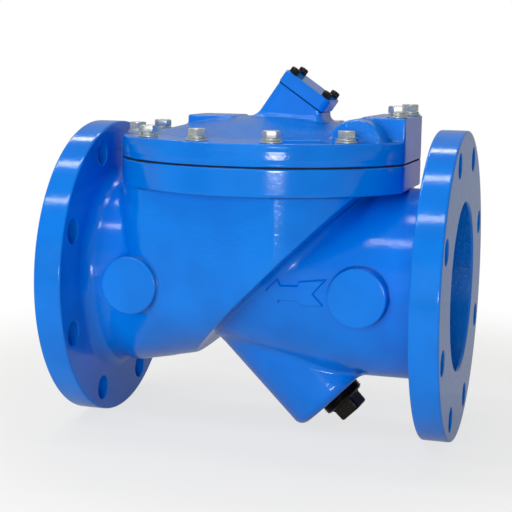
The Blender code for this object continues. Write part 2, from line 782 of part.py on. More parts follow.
def split_ring():
    washer = ring(
        "split_ring", SPRING_WASHER_OD / 2, BOLT_D / 2 + 0.3 * MM, SPRING_WASHER_THICKNESS, SMALL_ROUND
    )
    split = box(
        "split", (0, -SPRING_WASHER_SPLIT / 2, -MM), (SPRING_WASHER_OD, SPRING_WASHER_SPLIT / 2, 4 * MM)
    )
    return baked(combine(washer, "DIFFERENCE", [split]))


def cover_fasteners():
    washer_lift = STACK_GAP
    spring_lift = washer_lift + WASHER_THICKNESS + STACK_GAP
    head_lift = spring_lift + SPRING_WASHER_THICKNESS + STACK_GAP
    reach = BONNET_UNDERSIDE + BOLT_HOLE_FLOOR + BOLT_END_ROOM
    long_bolt = hex_bolt_mesh(BLOCK_TOP + head_lift - reach)
    short_bolt = hex_bolt_mesh(COVER_TOP + head_lift - reach)
    flat = ring("flat_ring", WASHER_OD / 2, BOLT_D / 2 + 0.4 * MM, WASHER_THICKNESS, 20)
    split = split_ring()
    for i, (x, y, z, turn) in enumerate(bolt_places(), 1):
        head = long_bolt if z > COVER_TOP + MM else short_bolt
        for name, source, lift, angle, finish in (
            ("cover_bolt", head, head_lift, turn * 5, ZINC),
            ("spring_washer", split, spring_lift, turn * 3 - 1.2, ZINC),
            ("flat_washer", flat, washer_lift, 0, ZINC),
        ):
            piece = add_object(f"{name}_{i:02d}", source.data)
            piece.location = (x, y, z + lift)
            piece.rotation_euler.z = angle
            finished(piece, finish)
    for source in (long_bolt, short_bolt, flat, split):
        bpy.data.objects.remove(source, do_unlink=True)


# Indicator port

def port_plate(name, low, high, length, width, corner):
    """A rounded rectangular plate parallel to the pedestal's face."""
    plate = box(name, (-length / 2, -width / 2, low), (length / 2, width / 2, high))
    rounded_edges(plate, corner, 3, lambda e: abs(e.verts[0].co.z - e.verts[1].co.z) > (high - low) / 2)
    return plate


def seat_on_pedestal(obj):
    obj.data.transform(Matrix.Translation(PEDESTAL_FACE) @ facing(PLATE_NORMAL))
    return obj


def indicator_port():
    low = GASKET_THICKNESS + 2 * GAP
    high = low + PLATE_THICKNESS
    length = PEDESTAL_LENGTH + 2 * PLATE_LIP
    width = PEDESTAL_WIDTH + 2 * PLATE_LIP
    plate = port_plate("indicator_cover_plate", low, high, length, width, PLATE_CORNER)
    rounded_edges(plate, PLATE_EDGE, 1, lambda e: min(v.co.z for v in e.verts) > high - 0.01 * MM)
    seat_on_pedestal(plate)
    combine(plate, "DIFFERENCE", [port_bores("plate_bores", 0, high + MM, None)])
    finished(plate, PAINT)
    gasket = port_plate(
        "indicator_gasket", GAP, GAP + GASKET_THICKNESS, PEDESTAL_LENGTH, PEDESTAL_WIDTH, PLATE_CORNER
    )
    seat_on_pedestal(gasket)
    combine(gasket, "DIFFERENCE", [port_bores("gasket_bores", 0, low, 0)])
    finished(gasket, GASKET)
    for i, (along, across) in enumerate(screw_places(), 1):
        finished(socket_screw(f"indicator_screw_{i}", along, across, high + STACK_GAP), BLACK_OXIDE)


def socket_screw(name, along, across, rest):
    """A socket head cap screw, from its head's underside at rest down into the pedestal."""
    tip = GAP - SCREW_GRIP
    head = cylinder(
        name,
        SCREW_HEAD_D / 2,
        plate_point(along, across, rest),
        plate_point(along, across, rest + SCREW_HEAD_HEIGHT),
        SMALL_ROUND,
    )
    rounded_edges(head, 0.4 * MM, 1, lambda e: True)
    shank = cylinder(
        name + "_shank",
        SCREW_D / 2,
        plate_point(along, across, tip),
        plate_point(along, across, rest + SCREW_HEAD_HEIGHT / 3),
        12,
    )
    socket = cylinder(
        name + "_socket",
        SCREW_SOCKET_AF / math.sqrt(3),
        plate_point(along, across, rest + SCREW_HEAD_HEIGHT - SCREW_SOCKET_DEPTH),
        plate_point(along, across, rest + SCREW_HEAD_HEIGHT + MM),
        6,
    )
    combine(head, "UNION", [shank])
    return combine(head, "DIFFERENCE", [socket])


# Plug

def drain_plug():
    """A square head pipe plug in the lower boss."""
    top = LOWER_BOSS_FACE + PLUG_SHOWS
    radius = PLUG_D / 2
    profile = [
        (0, top),
        (radius - 3 * MM, top),
        (radius, top - 2 * MM),
        (radius, LOWER_BOSS_FACE - PLUG_DEPTH + MM),
        (radius - MM, LOWER_BOSS_FACE - PLUG_DEPTH),
        (0, LOWER_BOSS_FACE - PLUG_DEPTH),
    ]
    plug = turned("drain_plug", profile, LOWER_BOSS_AXIS_POINT, SEAT_DOWN, MID_ROUND)
    half = PLUG_SQUARE / 2
    square = box("plug_square", (-half, -half, top - 4 * MM), (half, half, top + PLUG_SQUARE_HEIGHT))
    rounded_edges(square, 3 * MM, 2, lambda e: abs(e.verts[0].co.z - e.verts[1].co.z) > 4 * MM)
    rounded_edges(square, 1.5 * MM, 1, lambda e: min(v.co.z for v in e.verts) > top + PLUG_SQUARE_HEIGHT - MM)
    turn = Matrix.Rotation(PLUG_TURN, 4, "Z")
    square.data.transform(Matrix.Translation(LOWER_BOSS_AXIS_POINT) @ facing(SEAT_DOWN) @ turn)
    combine(plug, "UNION", [square])
    return finished(plug, BLACK_OXIDE)


# Flapper. Its own frame has its origin on the hinge line, X up the seat and Z out of it.

def flapper_profile():
    half = FLAPPER_THICKNESS / 2
    bead_out = BEAD_R + BEAD_WIDTH / 2
    bead_in = BEAD_R - BEAD_WIDTH / 2
    return [
        (0, half + FLAPPER_CROWN),
        (FLAPPER_R * 0.5, half + FLAPPER_CROWN),
        (FLAPPER_R * 0.62, half),
        (FLAPPER_R - 3 * MM, half),
        (FLAPPER_R, half - 3 * MM),
        (FLAPPER_R, 2 * MM - half),
        (FLAPPER_R - 2 * MM, -half),
        (bead_out, -half),
        (bead_out - 2 * MM, -half - BEAD_HEIGHT),
        (bead_in + 2 * MM, -half - BEAD_HEIGHT),
        (bead_in, -half),
        (0, -half),
    ]


def insert_holes(swing):
    holes = []
    for i in range(INSERT_HOLES):
        turn = 2 * math.pi * (i + 0.5) / INSERT_HOLES
        x = INSERT_HOLE_CIRCLE_R * math.cos(turn) - HINGE_ARM
        y = INSERT_HOLE_CIRCLE_R * math.sin(turn)
        top = FLAPPER_THICKNESS + FLAPPER_CROWN
        holes.append(cylinder(f"insert_hole_{i}", INSERT_HOLE_R, (x, y, 0), (x, y, top), 12))
    made = joined("insert_holes", holes)
    made.parent = swing
    return made


def flapper():
    swing = bpy.data.objects.new("flapper_swing", None)
    PARTS.objects.link(swing)
    swing.location = HINGE
    swing.rotation_euler.y = -SEAT_ANGLE
    bpy.context.view_layer.update()
    centre = (-HINGE_ARM, 0, 0)
    rubber = turned("flapper_rubber", flapper_profile(), centre, (0, 0, 1), 56, swing)
    half = ARM_THICKNESS / 2
    arm = box(
        "flapper_arm", (-ARM_REACH, -ARM_HALF_WIDTH, -half), (0, ARM_HALF_WIDTH, half), swing
    )
    barrel = cylinder(
        "flapper_barrel", BARREL_R, (0, -BARREL_HALF_LENGTH, 0), (0, BARREL_HALF_LENGTH, 0), 24, swing
    )
    room = INSERT_THICKNESS / 2 + GAP
    insert_room = cylinder(
        "insert_room", INSERT_R + GAP, (-HINGE_ARM, 0, -room), (-HINGE_ARM, 0, room), MID_ROUND, swing
    )
    pin_hole = cylinder(
        "flapper_pin_hole", PIN_R + PIN_CLEARANCE, (0, -PIN_HALF_LENGTH, 0), (0, PIN_HALF_LENGTH, 0), SMALL_ROUND, swing
    )
    combine(rubber, "UNION", [arm, barrel])
    combine(rubber, "DIFFERENCE", [insert_room, insert_holes(swing), pin_hole])
    finished(rubber, RUBBER)
    thick = INSERT_THICKNESS / 2
    insert = cylinder(
        "flapper_steel_disc", INSERT_R, (-HINGE_ARM, 0, -thick), (-HINGE_ARM, 0, thick), MID_ROUND, swing
    )
    finished(insert, STEEL)


def hinge_pin():
    low = HINGE - Vector((0, PIN_HALF_LENGTH, 0))
    high = HINGE + Vector((0, PIN_HALF_LENGTH, 0))
    return finished(cylinder("hinge_pin", PIN_R, low, high, SMALL_ROUND), STEEL)


clear_scene()
PARTS = collection("swing_non_return_valve")
CUTTERS = collection("cutters")
PAINT = material("blue_epoxy_paint", (0.011, 0.19, 0.74), 0.22, 0)
ZINC = material("zinc_plated_steel", (0.62, 0.63, 0.6), 0.32, 1)
BLACK_OXIDE = material("black_oxide_steel", (0.03, 0.03, 0.03), 0.4, 0.8)
STEEL = material("stainless_steel", (0.55, 0.55, 0.54), 0.35, 1)
RUBBER = material("nitrile_rubber", (0.02, 0.02, 0.02), 0.6, 0)
GASKET = material("gasket_sheet", (0.015, 0.015, 0.016), 0.7, 0)
valve_body()
bonnet_cover()
cover_gasket()
cover_fasteners()
indicator_port()
drain_plug()
hinge_pin()
flapper()
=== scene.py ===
# %% [markdown]
# # A painted iron check valve
#
# This notebook dresses a CAD model of a swing non-return valve: two sand castings in
# glossy blue epoxy, a black gasket between them, zinc plated fasteners and a black pipe plug.
# The CAD model is the fixed frame. Each piece here takes its place from it, and rides on
# one of its bodies, so that the flapper inside can still swing.

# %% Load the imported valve
import json
import math

import bpy
import numpy as np
from mathutils import Matrix, Vector


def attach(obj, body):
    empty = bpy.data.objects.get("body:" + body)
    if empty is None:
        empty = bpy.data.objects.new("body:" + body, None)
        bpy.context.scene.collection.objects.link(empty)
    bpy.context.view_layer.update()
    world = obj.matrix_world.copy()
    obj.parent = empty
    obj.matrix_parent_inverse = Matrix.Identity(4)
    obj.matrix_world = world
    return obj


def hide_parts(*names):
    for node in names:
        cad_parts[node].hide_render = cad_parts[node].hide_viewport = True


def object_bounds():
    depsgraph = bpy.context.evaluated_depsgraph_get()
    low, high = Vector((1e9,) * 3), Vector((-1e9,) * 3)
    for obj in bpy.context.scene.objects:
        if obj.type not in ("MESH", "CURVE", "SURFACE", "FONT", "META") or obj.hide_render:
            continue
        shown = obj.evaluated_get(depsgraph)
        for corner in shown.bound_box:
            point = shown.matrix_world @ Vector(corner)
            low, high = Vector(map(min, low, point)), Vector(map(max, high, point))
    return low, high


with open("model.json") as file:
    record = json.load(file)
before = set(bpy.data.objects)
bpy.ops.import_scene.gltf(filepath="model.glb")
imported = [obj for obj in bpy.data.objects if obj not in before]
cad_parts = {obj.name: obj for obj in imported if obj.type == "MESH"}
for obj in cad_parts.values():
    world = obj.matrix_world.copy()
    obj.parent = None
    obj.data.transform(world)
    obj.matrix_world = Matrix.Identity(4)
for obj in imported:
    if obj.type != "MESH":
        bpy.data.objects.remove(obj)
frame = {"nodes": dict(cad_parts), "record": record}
cad_low, cad_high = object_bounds()
MM = 0.001
print("CAD box in mm:", [round(v / MM, 1) for v in (*cad_low, *cad_high)])

# %% [markdown]
# ## Camera
#
# The camera's place was worked out once from the flange holes, whose real spacing is known.
# It stands to the right of the valve, a little above its middle, and is turned by
# almost one degree. Its three axes are built from those angles, as a rotation matrix.

# %% Camera
CAMERA_AZIMUTH, CAMERA_ELEVATION, CAMERA_ROLL = (math.radians(a) for a in (16.47, 8.53, 0.91))
CAMERA_PLACE = Vector((0.3132247, -1.1147967, 0.1909058))
CAMERA_LENS, CAMERA_SENSOR = 87.71, 36


def placed(name, data):
    """A new object, linked to the scene."""
    made = bpy.data.objects.new(name, data)
    bpy.context.scene.collection.objects.link(made)
    return made


def camera_turn(azimuth, elevation, roll):
    """The camera's axes: right, up and backwards."""
    back = Vector((math.sin(azimuth), -math.cos(azimuth), 0)) * math.cos(elevation)
    back.z = math.sin(elevation)
    right = Vector((0, 0, 1)).cross(back).normalized()
    up = back.cross(right)
    rolled_right = right * math.cos(roll) + up * math.sin(roll)
    rolled_up = up * math.cos(roll) - right * math.sin(roll)
    return Matrix((rolled_right, rolled_up, back)).transposed().to_4x4()


camera = placed("camera", bpy.data.cameras.new("camera"))
camera.data.lens = CAMERA_LENS
camera.data.sensor_width = CAMERA_SENSOR
camera.matrix_world = Matrix.Translation(CAMERA_PLACE) @ camera_turn(
    CAMERA_AZIMUTH, CAMERA_ELEVATION, CAMERA_ROLL
)
bpy.context.scene.camera = camera
bpy.context.scene.view_settings.view_transform = "Standard"
print("camera", round(CAMERA_PLACE.length, 2), "m from the valve's middle")

# %% [markdown]
# ## Colours and nodes
#
# Artists pick colours in sRGB, as on a screen, while a shader works with linear light.
# One function turns a hex value into linear numbers. Another adds a node with its settings
# and links, so that each material below reads as a short list.

# %% Helpers for materials
def linear(hex_colour):
    """The linear RGBA of an sRGB colour such as "#1E7CE8"."""
    channels = [int(hex_colour[i : i + 2], 16) / 255 for i in (1, 3, 5)]
    return (*((c / 12.92 if c <= 0.04045 else ((c + 0.055) / 1.055) ** 2.4) for c in channels), 1)


def add_node(tree, kind, settings=None, **links):
    """Adds a node. Each link is an input's name, or _ and its number, and a value or an output."""
    node = tree.nodes.new(kind)
    for name, value in (settings or {}).items():
        setattr(node, name, value)
    for name, value in links.items():
        socket = node.inputs[int(name[1:]) if name[1:].isdigit() else name.replace("_", " ")]
        if isinstance(value, bpy.types.NodeSocket):
            tree.links.new(value, socket)
        else:
            socket.default_value = value
    return node


def maths(tree, operation, first, second, clamp=False):
    """The result of a node that adds, subtracts or multiplies."""
    settings = {"operation": operation, "use_clamp": clamp}
    return add_node(tree, "ShaderNodeMath", settings, _0=first, _1=second).outputs["Value"]


def mix_to_output(tree, share, first, second, output):
    """Sends a mix of two shaders to the tree's output node."""
    mix = add_node(tree, "ShaderNodeMixShader", _0=share, _1=first, _2=second)
    tree.links.new(mix.outputs["Shader"], tree.nodes[output].inputs["Surface"])


def tinted(tree, value, dark, light):
    """A colour between dark and light, as a noise value goes through the middle of its range."""
    ramp = add_node(tree, "ShaderNodeValToRGB", Fac=value)
    first, last = ramp.color_ramp.elements
    first.position, last.position = 0.35, 0.65
    first.color, last.color = linear(dark), linear(light)
    return ramp.outputs["Color"]


def noise_of(tree, place, size_mm, detail):
    """Noise whose largest spots have this size."""
    settings = {"Vector": place, "Scale": 1 / (size_mm * MM), "Detail": detail}
    return add_node(tree, "ShaderNodeTexNoise", **settings).outputs["Fac"]


def new_material(name, **sockets):
    """A material with a Principled shader, whose uniform values go straight on its sockets."""
    made = bpy.data.materials.new(name)
    made.use_nodes = True
    shader = made.node_tree.nodes["Principled BSDF"]
    for socket, value in sockets.items():
        shader.inputs[socket.replace("_", " ")].default_value = value
    made.diffuse_color = shader.inputs["Base Color"].default_value
    return made, made.node_tree, shader


def link_colour_and_bump(tree, shader, colour, bump):
    tree.links.new(colour, shader.inputs["Base Color"])
    tree.links.new(bump, shader.inputs["Normal"])


# %% [markdown]
# ## Floor, world and lamps
#
# Gloss paint is a mirror under a blue film, so the studio matters as much as the colour. The
# valve stands on a white sheet that ends about a metre in front of it. Beyond that the room is
# dim, so the upper half of the casting keeps its deep blue, and its lower half reflects the
# sheet. Three long lamps overhead draw the soft bands on the flange rims and on the inlet pipe.

# %% Stage
SHEET_FRONT, SHEET_BACK, SHEET_HALF, SHEET_TOP = -1.08, 2.6, 6.0, 5.0
FADE_START, FADE_END, NEAR_GLOW = 0.26, 0.60, 0.72
MIRRORED_WHITE, MIRRORED_ROOM, ROOM_STRENGTH = 0.4, 0.07, 0.32


def mesh_object(name, points, faces, smooth=True):
    mesh = bpy.data.meshes.new(name)
    mesh.from_pydata([tuple(p) for p in points], [], [tuple(f) for f in faces])
    mesh.update()
    if smooth:
        mesh.shade_smooth()
    return placed(name, mesh)


def backdrop():
    """A pale sheet: flat under the valve, and curved up far behind it."""
    bend = np.linspace(0.15, math.pi / 2, 12)
    profile = [(SHEET_FRONT, 0.0), (SHEET_BACK, 0.0)]
    profile += [(SHEET_BACK + math.sin(t), 1 - math.cos(t)) for t in bend]
    profile += [(SHEET_BACK + 1, SHEET_TOP)]
    points = [(side * SHEET_HALF, y, cad_low.z + z) for y, z in profile for side in (-1, 1)]
    faces = [(2 * i, 2 * i + 1, 2 * i + 3, 2 * i + 2) for i in range(len(profile) - 1)]
    return mesh_object("backdrop", points, faces)


def seen_directly(tree, mirrored_white):
    """One for camera and transmission rays, less for mirrored ones, zero for scattered light."""
    path = add_node(tree, "ShaderNodeLightPath").outputs
    mirrored = maths(tree, "MULTIPLY", path["Is Glossy Ray"], mirrored_white)
    both = maths(tree, "ADD", path["Is Camera Ray"], mirrored)
    return maths(tree, "ADD", both, path["Is Transmission Ray"], clamp=True)


# White paper. Near the valve it only reflects, so that the shadow stays. Further off it fades
# to an even white, as a studio sheet does when it is lit from behind.
sheet, sheet_tree, sheet_shader = new_material(
    "white_paper_backdrop", Base_Color=linear("#DAD5CC"), Roughness=0.9, Specular_IOR_Level=0.1
)
where = add_node(sheet_tree, "ShaderNodeNewGeometry").outputs["Position"]
distance, middle = {"operation": "DISTANCE"}, (0, 0.1, cad_low.z)
away = add_node(sheet_tree, "ShaderNodeVectorMath", distance, _0=where, _1=middle).outputs["Value"]
fade = add_node(
    sheet_tree,
    "ShaderNodeMapRange",
    {"interpolation_type": "SMOOTHSTEP"},
    Value=away,
    From_Min=FADE_START,
    From_Max=FADE_END,
    To_Min=NEAR_GLOW,
).outputs["Result"]
seen = seen_directly(sheet_tree, MIRRORED_WHITE)
white = add_node(sheet_tree, "ShaderNodeEmission", Color=linear("#FFFFFF"), Strength=seen)
scattered = add_node(sheet_tree, "ShaderNodeLightPath").outputs["Is Diffuse Ray"]
share = maths(sheet_tree, "MULTIPLY", fade, maths(sheet_tree, "SUBTRACT", 1.0, scattered))
mix_to_output(
    sheet_tree, share, sheet_shader.outputs["BSDF"], white.outputs["Emission"], "Material Output"
)
floor = backdrop()
floor.data.materials.append(sheet)

# The room: dim and cool as a light, white where the camera sees it.
world = bpy.data.worlds.new("room")
bpy.context.scene.world = world
world.use_nodes = True
room = world.node_tree.nodes["Background"]
room.inputs["Color"].default_value = linear("#B9C6CE")
room.inputs["Strength"].default_value = ROOM_STRENGTH
room_tree = world.node_tree
plain = add_node(room_tree, "ShaderNodeBackground", Color=linear("#FFFFFF"), Strength=1.0)
room_share = seen_directly(room_tree, MIRRORED_ROOM)
room_light, plain_white = room.outputs["Background"], plain.outputs["Background"]
mix_to_output(room_tree, room_share, room_light, plain_white, "World Output")


def lamp(name, place, aim, size, watts, mirrored=True):
    """A lamp at place, turned towards aim, that gloss paint mirrors or not."""
    data = bpy.data.lights.new(name, "AREA")
    data.shape = "RECTANGLE"
    data.size, data.size_y = size
    data.energy = watts
    made = placed(name, data)
    made.location = place
    made.rotation_euler = (Vector(aim) - Vector(place)).to_track_quat("-Z", "Y").to_euler()
    made.visible_glossy = mirrored


for number, back in enumerate((1.45, -0.02, -1.62)):
    lamp(f"ceiling_lamp_{number}", (-0.75, back, 2.4), (-0.75, back * 0.4, 0), (2.3, 0.2), 15)
lamp("front_lamp", (-0.5, -3.0, 0.5), (0, 0, 0), (2.2, 1.4), 43, mirrored=False)
lamp("low_window", (1.0, -3.1, 0.03), (0.04, 0, 0.1), (0.6, 0.18), 15)
lamp("right_lamp", (2.6, -0.7, 1.6), (0.1, 0, 0), (1.0, 0.6), 2.5, mirrored=False)
print("stage ready, floor at z =", round(cad_low.z / MM, 1), "mm")

# %% [markdown]
# ## Shapes from distances
#
# A sand casting has no sharp inside corners: wherever two forms meet, the pattern maker
# fills the corner with a fillet, and the paint softens every edge. Booleans leave those corners
# sharp. So the two castings are written as signed distance fields: a function says how far
# a point is from the surface, negative inside. Two fields join with a fillet of a given radius,
# or meet with a rounded edge, by a few lines of arithmetic. All lengths here are in millimetres.

# %% Joining and cutting distance fields
def join(first, second, fillet):
    """Both shapes, with a round fillet in the corner between them."""
    a, b = np.maximum(fillet - first, 0), np.maximum(fillet - second, 0)
    return np.maximum(fillet, np.minimum(first, second)) - np.hypot(a, b)


def meet(first, second, edge):
    """What both shapes hold, with a round edge where their surfaces cross."""
    a, b = np.maximum(edge + first, 0), np.maximum(edge + second, 0)
    return np.minimum(-edge, np.maximum(first, second)) + np.hypot(a, b)


def cut(shape, cutter, edge):
    """What is left of the shape, with a round edge at the cut."""
    return meet(shape, -cutter, edge)


def between(v, low, high):
    """Distance from the slab between two planes."""
    return np.maximum(low - v, v - high)


def blended(v, start, end, first, last):
    """A value that runs smoothly from first to last while v goes from start to end."""
    t = np.clip((v - start) / (end - start), 0, 1)
    return first + (last - first) * t * t * (3 - 2 * t)


def repeated(a, b, radius, count):
    """Distance from the nearest of count points on a circle, the first half a step round."""
    step = 2 * math.pi / count
    turn = np.arctan2(b, a)
    off = turn - (np.round(turn / step - 0.5) + 0.5) * step
    reach = np.hypot(a, b)
    return np.hypot(reach * np.cos(off) - radius, reach * np.sin(off))


# %% [markdown]
# ## From a field to a mesh
#
# Surface nets turn a field into quads: the field is sampled on a grid, each cell that the
# surface crosses gets one vertex, and each grid edge that it crosses gets one quad. Then each
# vertex steps along the field's slope until it lies on the surface, and the slope gives
# its normal, so that the gloss runs smoothly over flats and fillets alike.

# %% Surface nets
LAYERS, SLOPE_REACH, STEPS_TO_SURFACE, LEAST_SLOPE = 16, 0.06, 3, 0.2
CORNERS = [(i, j, k) for i in (0, 1) for j in (0, 1) for k in (0, 1)]
EDGES = [
    (a, b)
    for a in range(8)
    for b in range(a + 1, 8)
    if sum(abs(p - q) for p, q in zip(CORNERS[a], CORNERS[b])) == 1
]


def sampled(field, axes):
    """The field's values on a grid, made a few layers at a time to keep memory low."""
    xs, ys, zs = axes
    values = np.empty((len(xs), len(ys), len(zs)), np.float32)
    for start in range(0, len(xs), LAYERS):
        layers = slice(start, start + LAYERS)
        values[layers] = field(xs[layers, None, None], ys[None, :, None], zs[None, None, :])
    return values


def slope(field, points):
    """The field's gradient at each point, by central differences."""
    parts = []
    for axis in range(3):
        ahead, behind = points.copy(), points.copy()
        ahead[:, axis] += SLOPE_REACH
        behind[:, axis] -= SLOPE_REACH
        parts.append((field(*ahead.T) - field(*behind.T)) / (2 * SLOPE_REACH))
    return np.stack(parts, axis=1)


def cell_points(values, axes, step):
    """A number and a point, the mean of its crossings, for each cell that the surface crosses."""
    inside = values < 0
    corner_slices = [
        tuple(slice(o, n - 1 + o) for o, n in zip(corner, values.shape)) for corner in CORNERS
    ]
    count = sum(inside[s].astype(np.int8) for s in corner_slices)
    active = (count > 0) & (count < 8)
    number = np.full(active.shape, -1, np.int64)
    number[active] = np.arange(active.sum())
    samples = [values[s][active] for s in corner_slices]
    total = np.zeros((len(samples[0]), 3))
    crossings = np.zeros(len(samples[0]))
    for a, b in EDGES:
        crossed = (samples[a] < 0) != (samples[b] < 0)
        change = np.where(crossed, samples[a] - samples[b], 1)
        share = np.where(crossed, samples[a] / change, 0)
        start, end = np.array(CORNERS[a]), np.array(CORNERS[b])
        total += crossed[:, None] * (start + share[:, None] * (end - start))
        crossings += crossed
    corner = np.argwhere(active) * step + np.array([axis[0] for axis in axes])
    return number, inside, corner + total / crossings[:, None] * step


def net_faces(number, inside):
    """One quad for each grid edge that the surface crosses, facing out."""
    quads = []
    for axis in range(3):
        u, v = [(1, 2), (2, 0), (0, 1)][axis]
        low = np.take(inside, range(inside.shape[axis] - 1), axis)
        high = np.take(inside, range(1, inside.shape[axis]), axis)
        trim = [slice(None)] * 3
        trim[u] = trim[v] = slice(1, -1)
        crossed = np.argwhere((low != high)[tuple(trim)])
        crossed[:, u] += 1
        crossed[:, v] += 1
        outward = low[tuple(crossed.T)]
        around = []
        for back_u, back_v in ((1, 1), (0, 1), (0, 0), (1, 0)):
            cell = crossed.copy()
            cell[:, u] -= back_u
            cell[:, v] -= back_v
            around.append(number[tuple(cell.T)])
        quad = np.stack(around, axis=1)
        quads.append(np.where(outward[:, None], quad, quad[:, ::-1]))
    return np.concatenate(quads)


def quad_mesh(name, points, quads, normals):
    """A mesh of quads in metres, made at once from points in millimetres."""
    assert np.isfinite(points).all(), name + " has points that are not numbers"
    mesh = bpy.data.meshes.new(name)
    mesh.vertices.add(len(points))
    mesh.vertices.foreach_set("co", (points * MM).astype(np.float32).ravel())
    mesh.loops.add(quads.size)
    mesh.loops.foreach_set("vertex_index", quads.astype(np.int32).ravel())
    mesh.polygons.add(len(quads))
    mesh.polygons.foreach_set("loop_start", np.arange(0, quads.size, 4, dtype=np.int32))
    mesh.update(calc_edges=True)
    mesh.validate()
    mesh.shade_smooth()
    mesh.normals_split_custom_set_from_vertices([tuple(n) for n in normals])
    return mesh


def skin(name, field, low, high, step, place=None):
    """The field's surface inside the box from low to high, as an object."""
    axes = [np.arange(a, b + step, step, dtype=np.float32) for a, b in zip(low, high)]
    number, inside, points = cell_points(sampled(field, axes), axes, step)
    for _ in range(STEPS_TO_SURFACE):
        lean = slope(field, points)
        steepness = np.maximum((lean**2).sum(1), LEAST_SLOPE)
        shift = lean * (field(*points.T) / steepness)[:, None]
        points = points - np.clip(shift, -step / 2, step / 2)
    normals = slope(field, points)
    normals /= np.maximum(np.linalg.norm(normals, axis=1), 1e-6)[:, None]
    mesh = quad_mesh(name, points, net_faces(number, inside), normals)
    if place is not None:
        mesh.transform(place)
    print(name, len(points), "points")
    return placed(name, mesh)


# %% [markdown]
# ## The body casting
#
# The body is one iron casting. A straight pipe comes in from the right flange and widens into
# an oblique round seat, which leans by 45 degrees in the wall of a wide chamber. The
# chamber has upright sides and a round floor, and it runs out to the left flange. A big boss for
# the drain plug stands square to the seat. Measures are the standard flange's and the photo's.

# %% Body: measures and outer forms
HALF_LENGTH, FLANGE_R, FLANGE_BACK = 177.8, 139.7, 152.4
PORT_R, HOLE_CIRCLE_R, HOLE_R = 76.2, 120.65, 11.1
BONNET_R, BONNET_X, BONNET_FLAT, OPENING_R = 139, -1.5, 129.3, 114.5
BONNET_LOW, JOINT_Z = 86, 110
BOLTS, BOLT_CIRCLE_R, BOLT_HOLE_R = 12, 125.5, 5.1
OUTLET_X, ROOM_HALF, ROOM_WIDENS, ROOM_DEPTH, ROOM_RISES = -94, 102, 0.2083, 82.7, 0.217
CHAMBER_X, CHAMBER_R, CHAMBER_TOP = -6, 135, 88
WALL, FLOOR_WALL = 11, 9.5
SEAT_X, SEAT_Z = 15.0, 5.0
BEND_TOP, BEND_LOW = 100.0, 60.0
STRAIGHT_FROM, STRAIGHT_TO = 0.78, 1.2
LOWER_BOSS_R, LOWER_BOSS_FOOT, LOWER_BOSS_FACE, LOWER_BOSS_SUM = 47.5, 6, 124.2, -41.5
PLUG_HOLE_R, PLUG_HOLE_END = 21.4, 20
SIDE_BOSS_R, SIDE_BOSS_ROOT = 25.7, 55
INLET_BOSS_X, INLET_BOSS_FACE, OUTLET_BOSS_X, OUTLET_BOSS_FACE = 101, 97, -102, 107.5
HINGE_X, HINGE_Z, HINGE_HALF, PIN_WAY_R, PIN_WAY_HALF = 87.9, 107.5, 60, 5.4, 74
ROOT_HALF = math.sqrt(0.5)


def flange(x, reach, side):
    """The inlet's flange on side 1, the outlet's on side -1."""
    return meet(reach - FLANGE_R, between(side * x, FLANGE_BACK, HALF_LENGTH), 1.7)


def pipe(x, reach, stations, radii):
    """A pipe whose radius follows the stations along it."""
    return reach - np.interp(x, stations, radii).astype(np.float32)


def trough(x, y, z, side_inset, floor_inset):
    """Upright sides and a floor that is half an ellipse, both changing along the pipe."""
    half = ROOM_HALF + ROOM_WIDENS * (x - OUTLET_X) - side_inset
    depth = ROOM_DEPTH - ROOM_RISES * (x - OUTLET_X) - floor_inset
    side, low = np.abs(y) + 0.01, np.minimum(z, 0)
    ratio = np.hypot(side / half, low / depth)
    return ratio * (ratio - 1) / np.hypot(side / half**2, low / depth**2)


def chamber(x, y, z, side_inset, floor_inset, top):
    """The trough within an upright cylinder. Their corner is crisp above and soft below."""
    edge = blended(z, 5, 35, 16.0, 1.6)
    cylinder = np.hypot(x - CHAMBER_X, y) - (CHAMBER_R - side_inset)
    walls = meet(trough(x, y, z, side_inset, floor_inset), cylinder, edge)
    return np.maximum(walls, z - top)


def seat_side(x, z, offset):
    """Distance past the seat's plane, on which x - z is offset."""
    return (x - z - offset) * ROOT_HALF


def way(x, y, z, seat_r, pipe_r):
    """The passage from the leaning seat ring to the straight pipe, as slanting oval sections.

    Each section is a line in the x-z plane, which turns and grows with t: 0 is the seat ring
    and 1 the pipe. The section through a point solves bend * t * t + lean * t + flat = 0.
    Its root is written in two ways, so that neither divides by nearly nothing.
    """
    middle = (BEND_TOP + BEND_LOW) / 2
    seat_half, bend_half = seat_r * ROOT_HALF, (BEND_TOP - BEND_LOW) / 2
    across, up = middle - SEAT_X, pipe_r - seat_half
    narrow = bend_half - seat_half
    ahead, above = x - SEAT_X, z - SEAT_Z
    bend = SEAT_Z * narrow - across * up
    lean = ahead * up - above * narrow - across * seat_half - SEAT_Z * seat_half
    flat = seat_half * (ahead - above)
    root = np.sqrt(np.maximum(lean * lean - 4 * bend * flat, 0))
    past, before = (lean + root) / (-2 * bend), 2 * flat / np.maximum(root - lean, 1e-6)
    t = np.clip(np.where(lean > 0, past, before), 0, STRAIGHT_TO)
    wide_x, wide_z = seat_half + narrow * t, seat_half + up * t
    half = seat_r + (pipe_r - seat_r) * t
    length = np.hypot(wide_x, wide_z)
    share = ((ahead - across * t) * wide_x + (above + SEAT_Z * t) * wide_z) / length**2
    ratio = np.maximum(np.hypot(share, y / half), 1e-4)
    steep = np.hypot(share * wide_z / length**2, y / half**2)
    spread = np.maximum(np.hypot(share / length, y / half**2) ** 2, 1e-9)
    oblique = ratio * (ratio - 1) * steep / spread
    straight = blended(t, STRAIGHT_FROM, STRAIGHT_TO, 0.0, 1.0)
    return oblique * (1 - straight) + (np.hypot(y, z) - pipe_r) * straight


def bonnet_outline(x, y):
    """A circle, cut flat beside the inlet flange."""
    return meet(np.hypot(x - BONNET_X, y) - BONNET_R, x - BONNET_FLAT, 2)


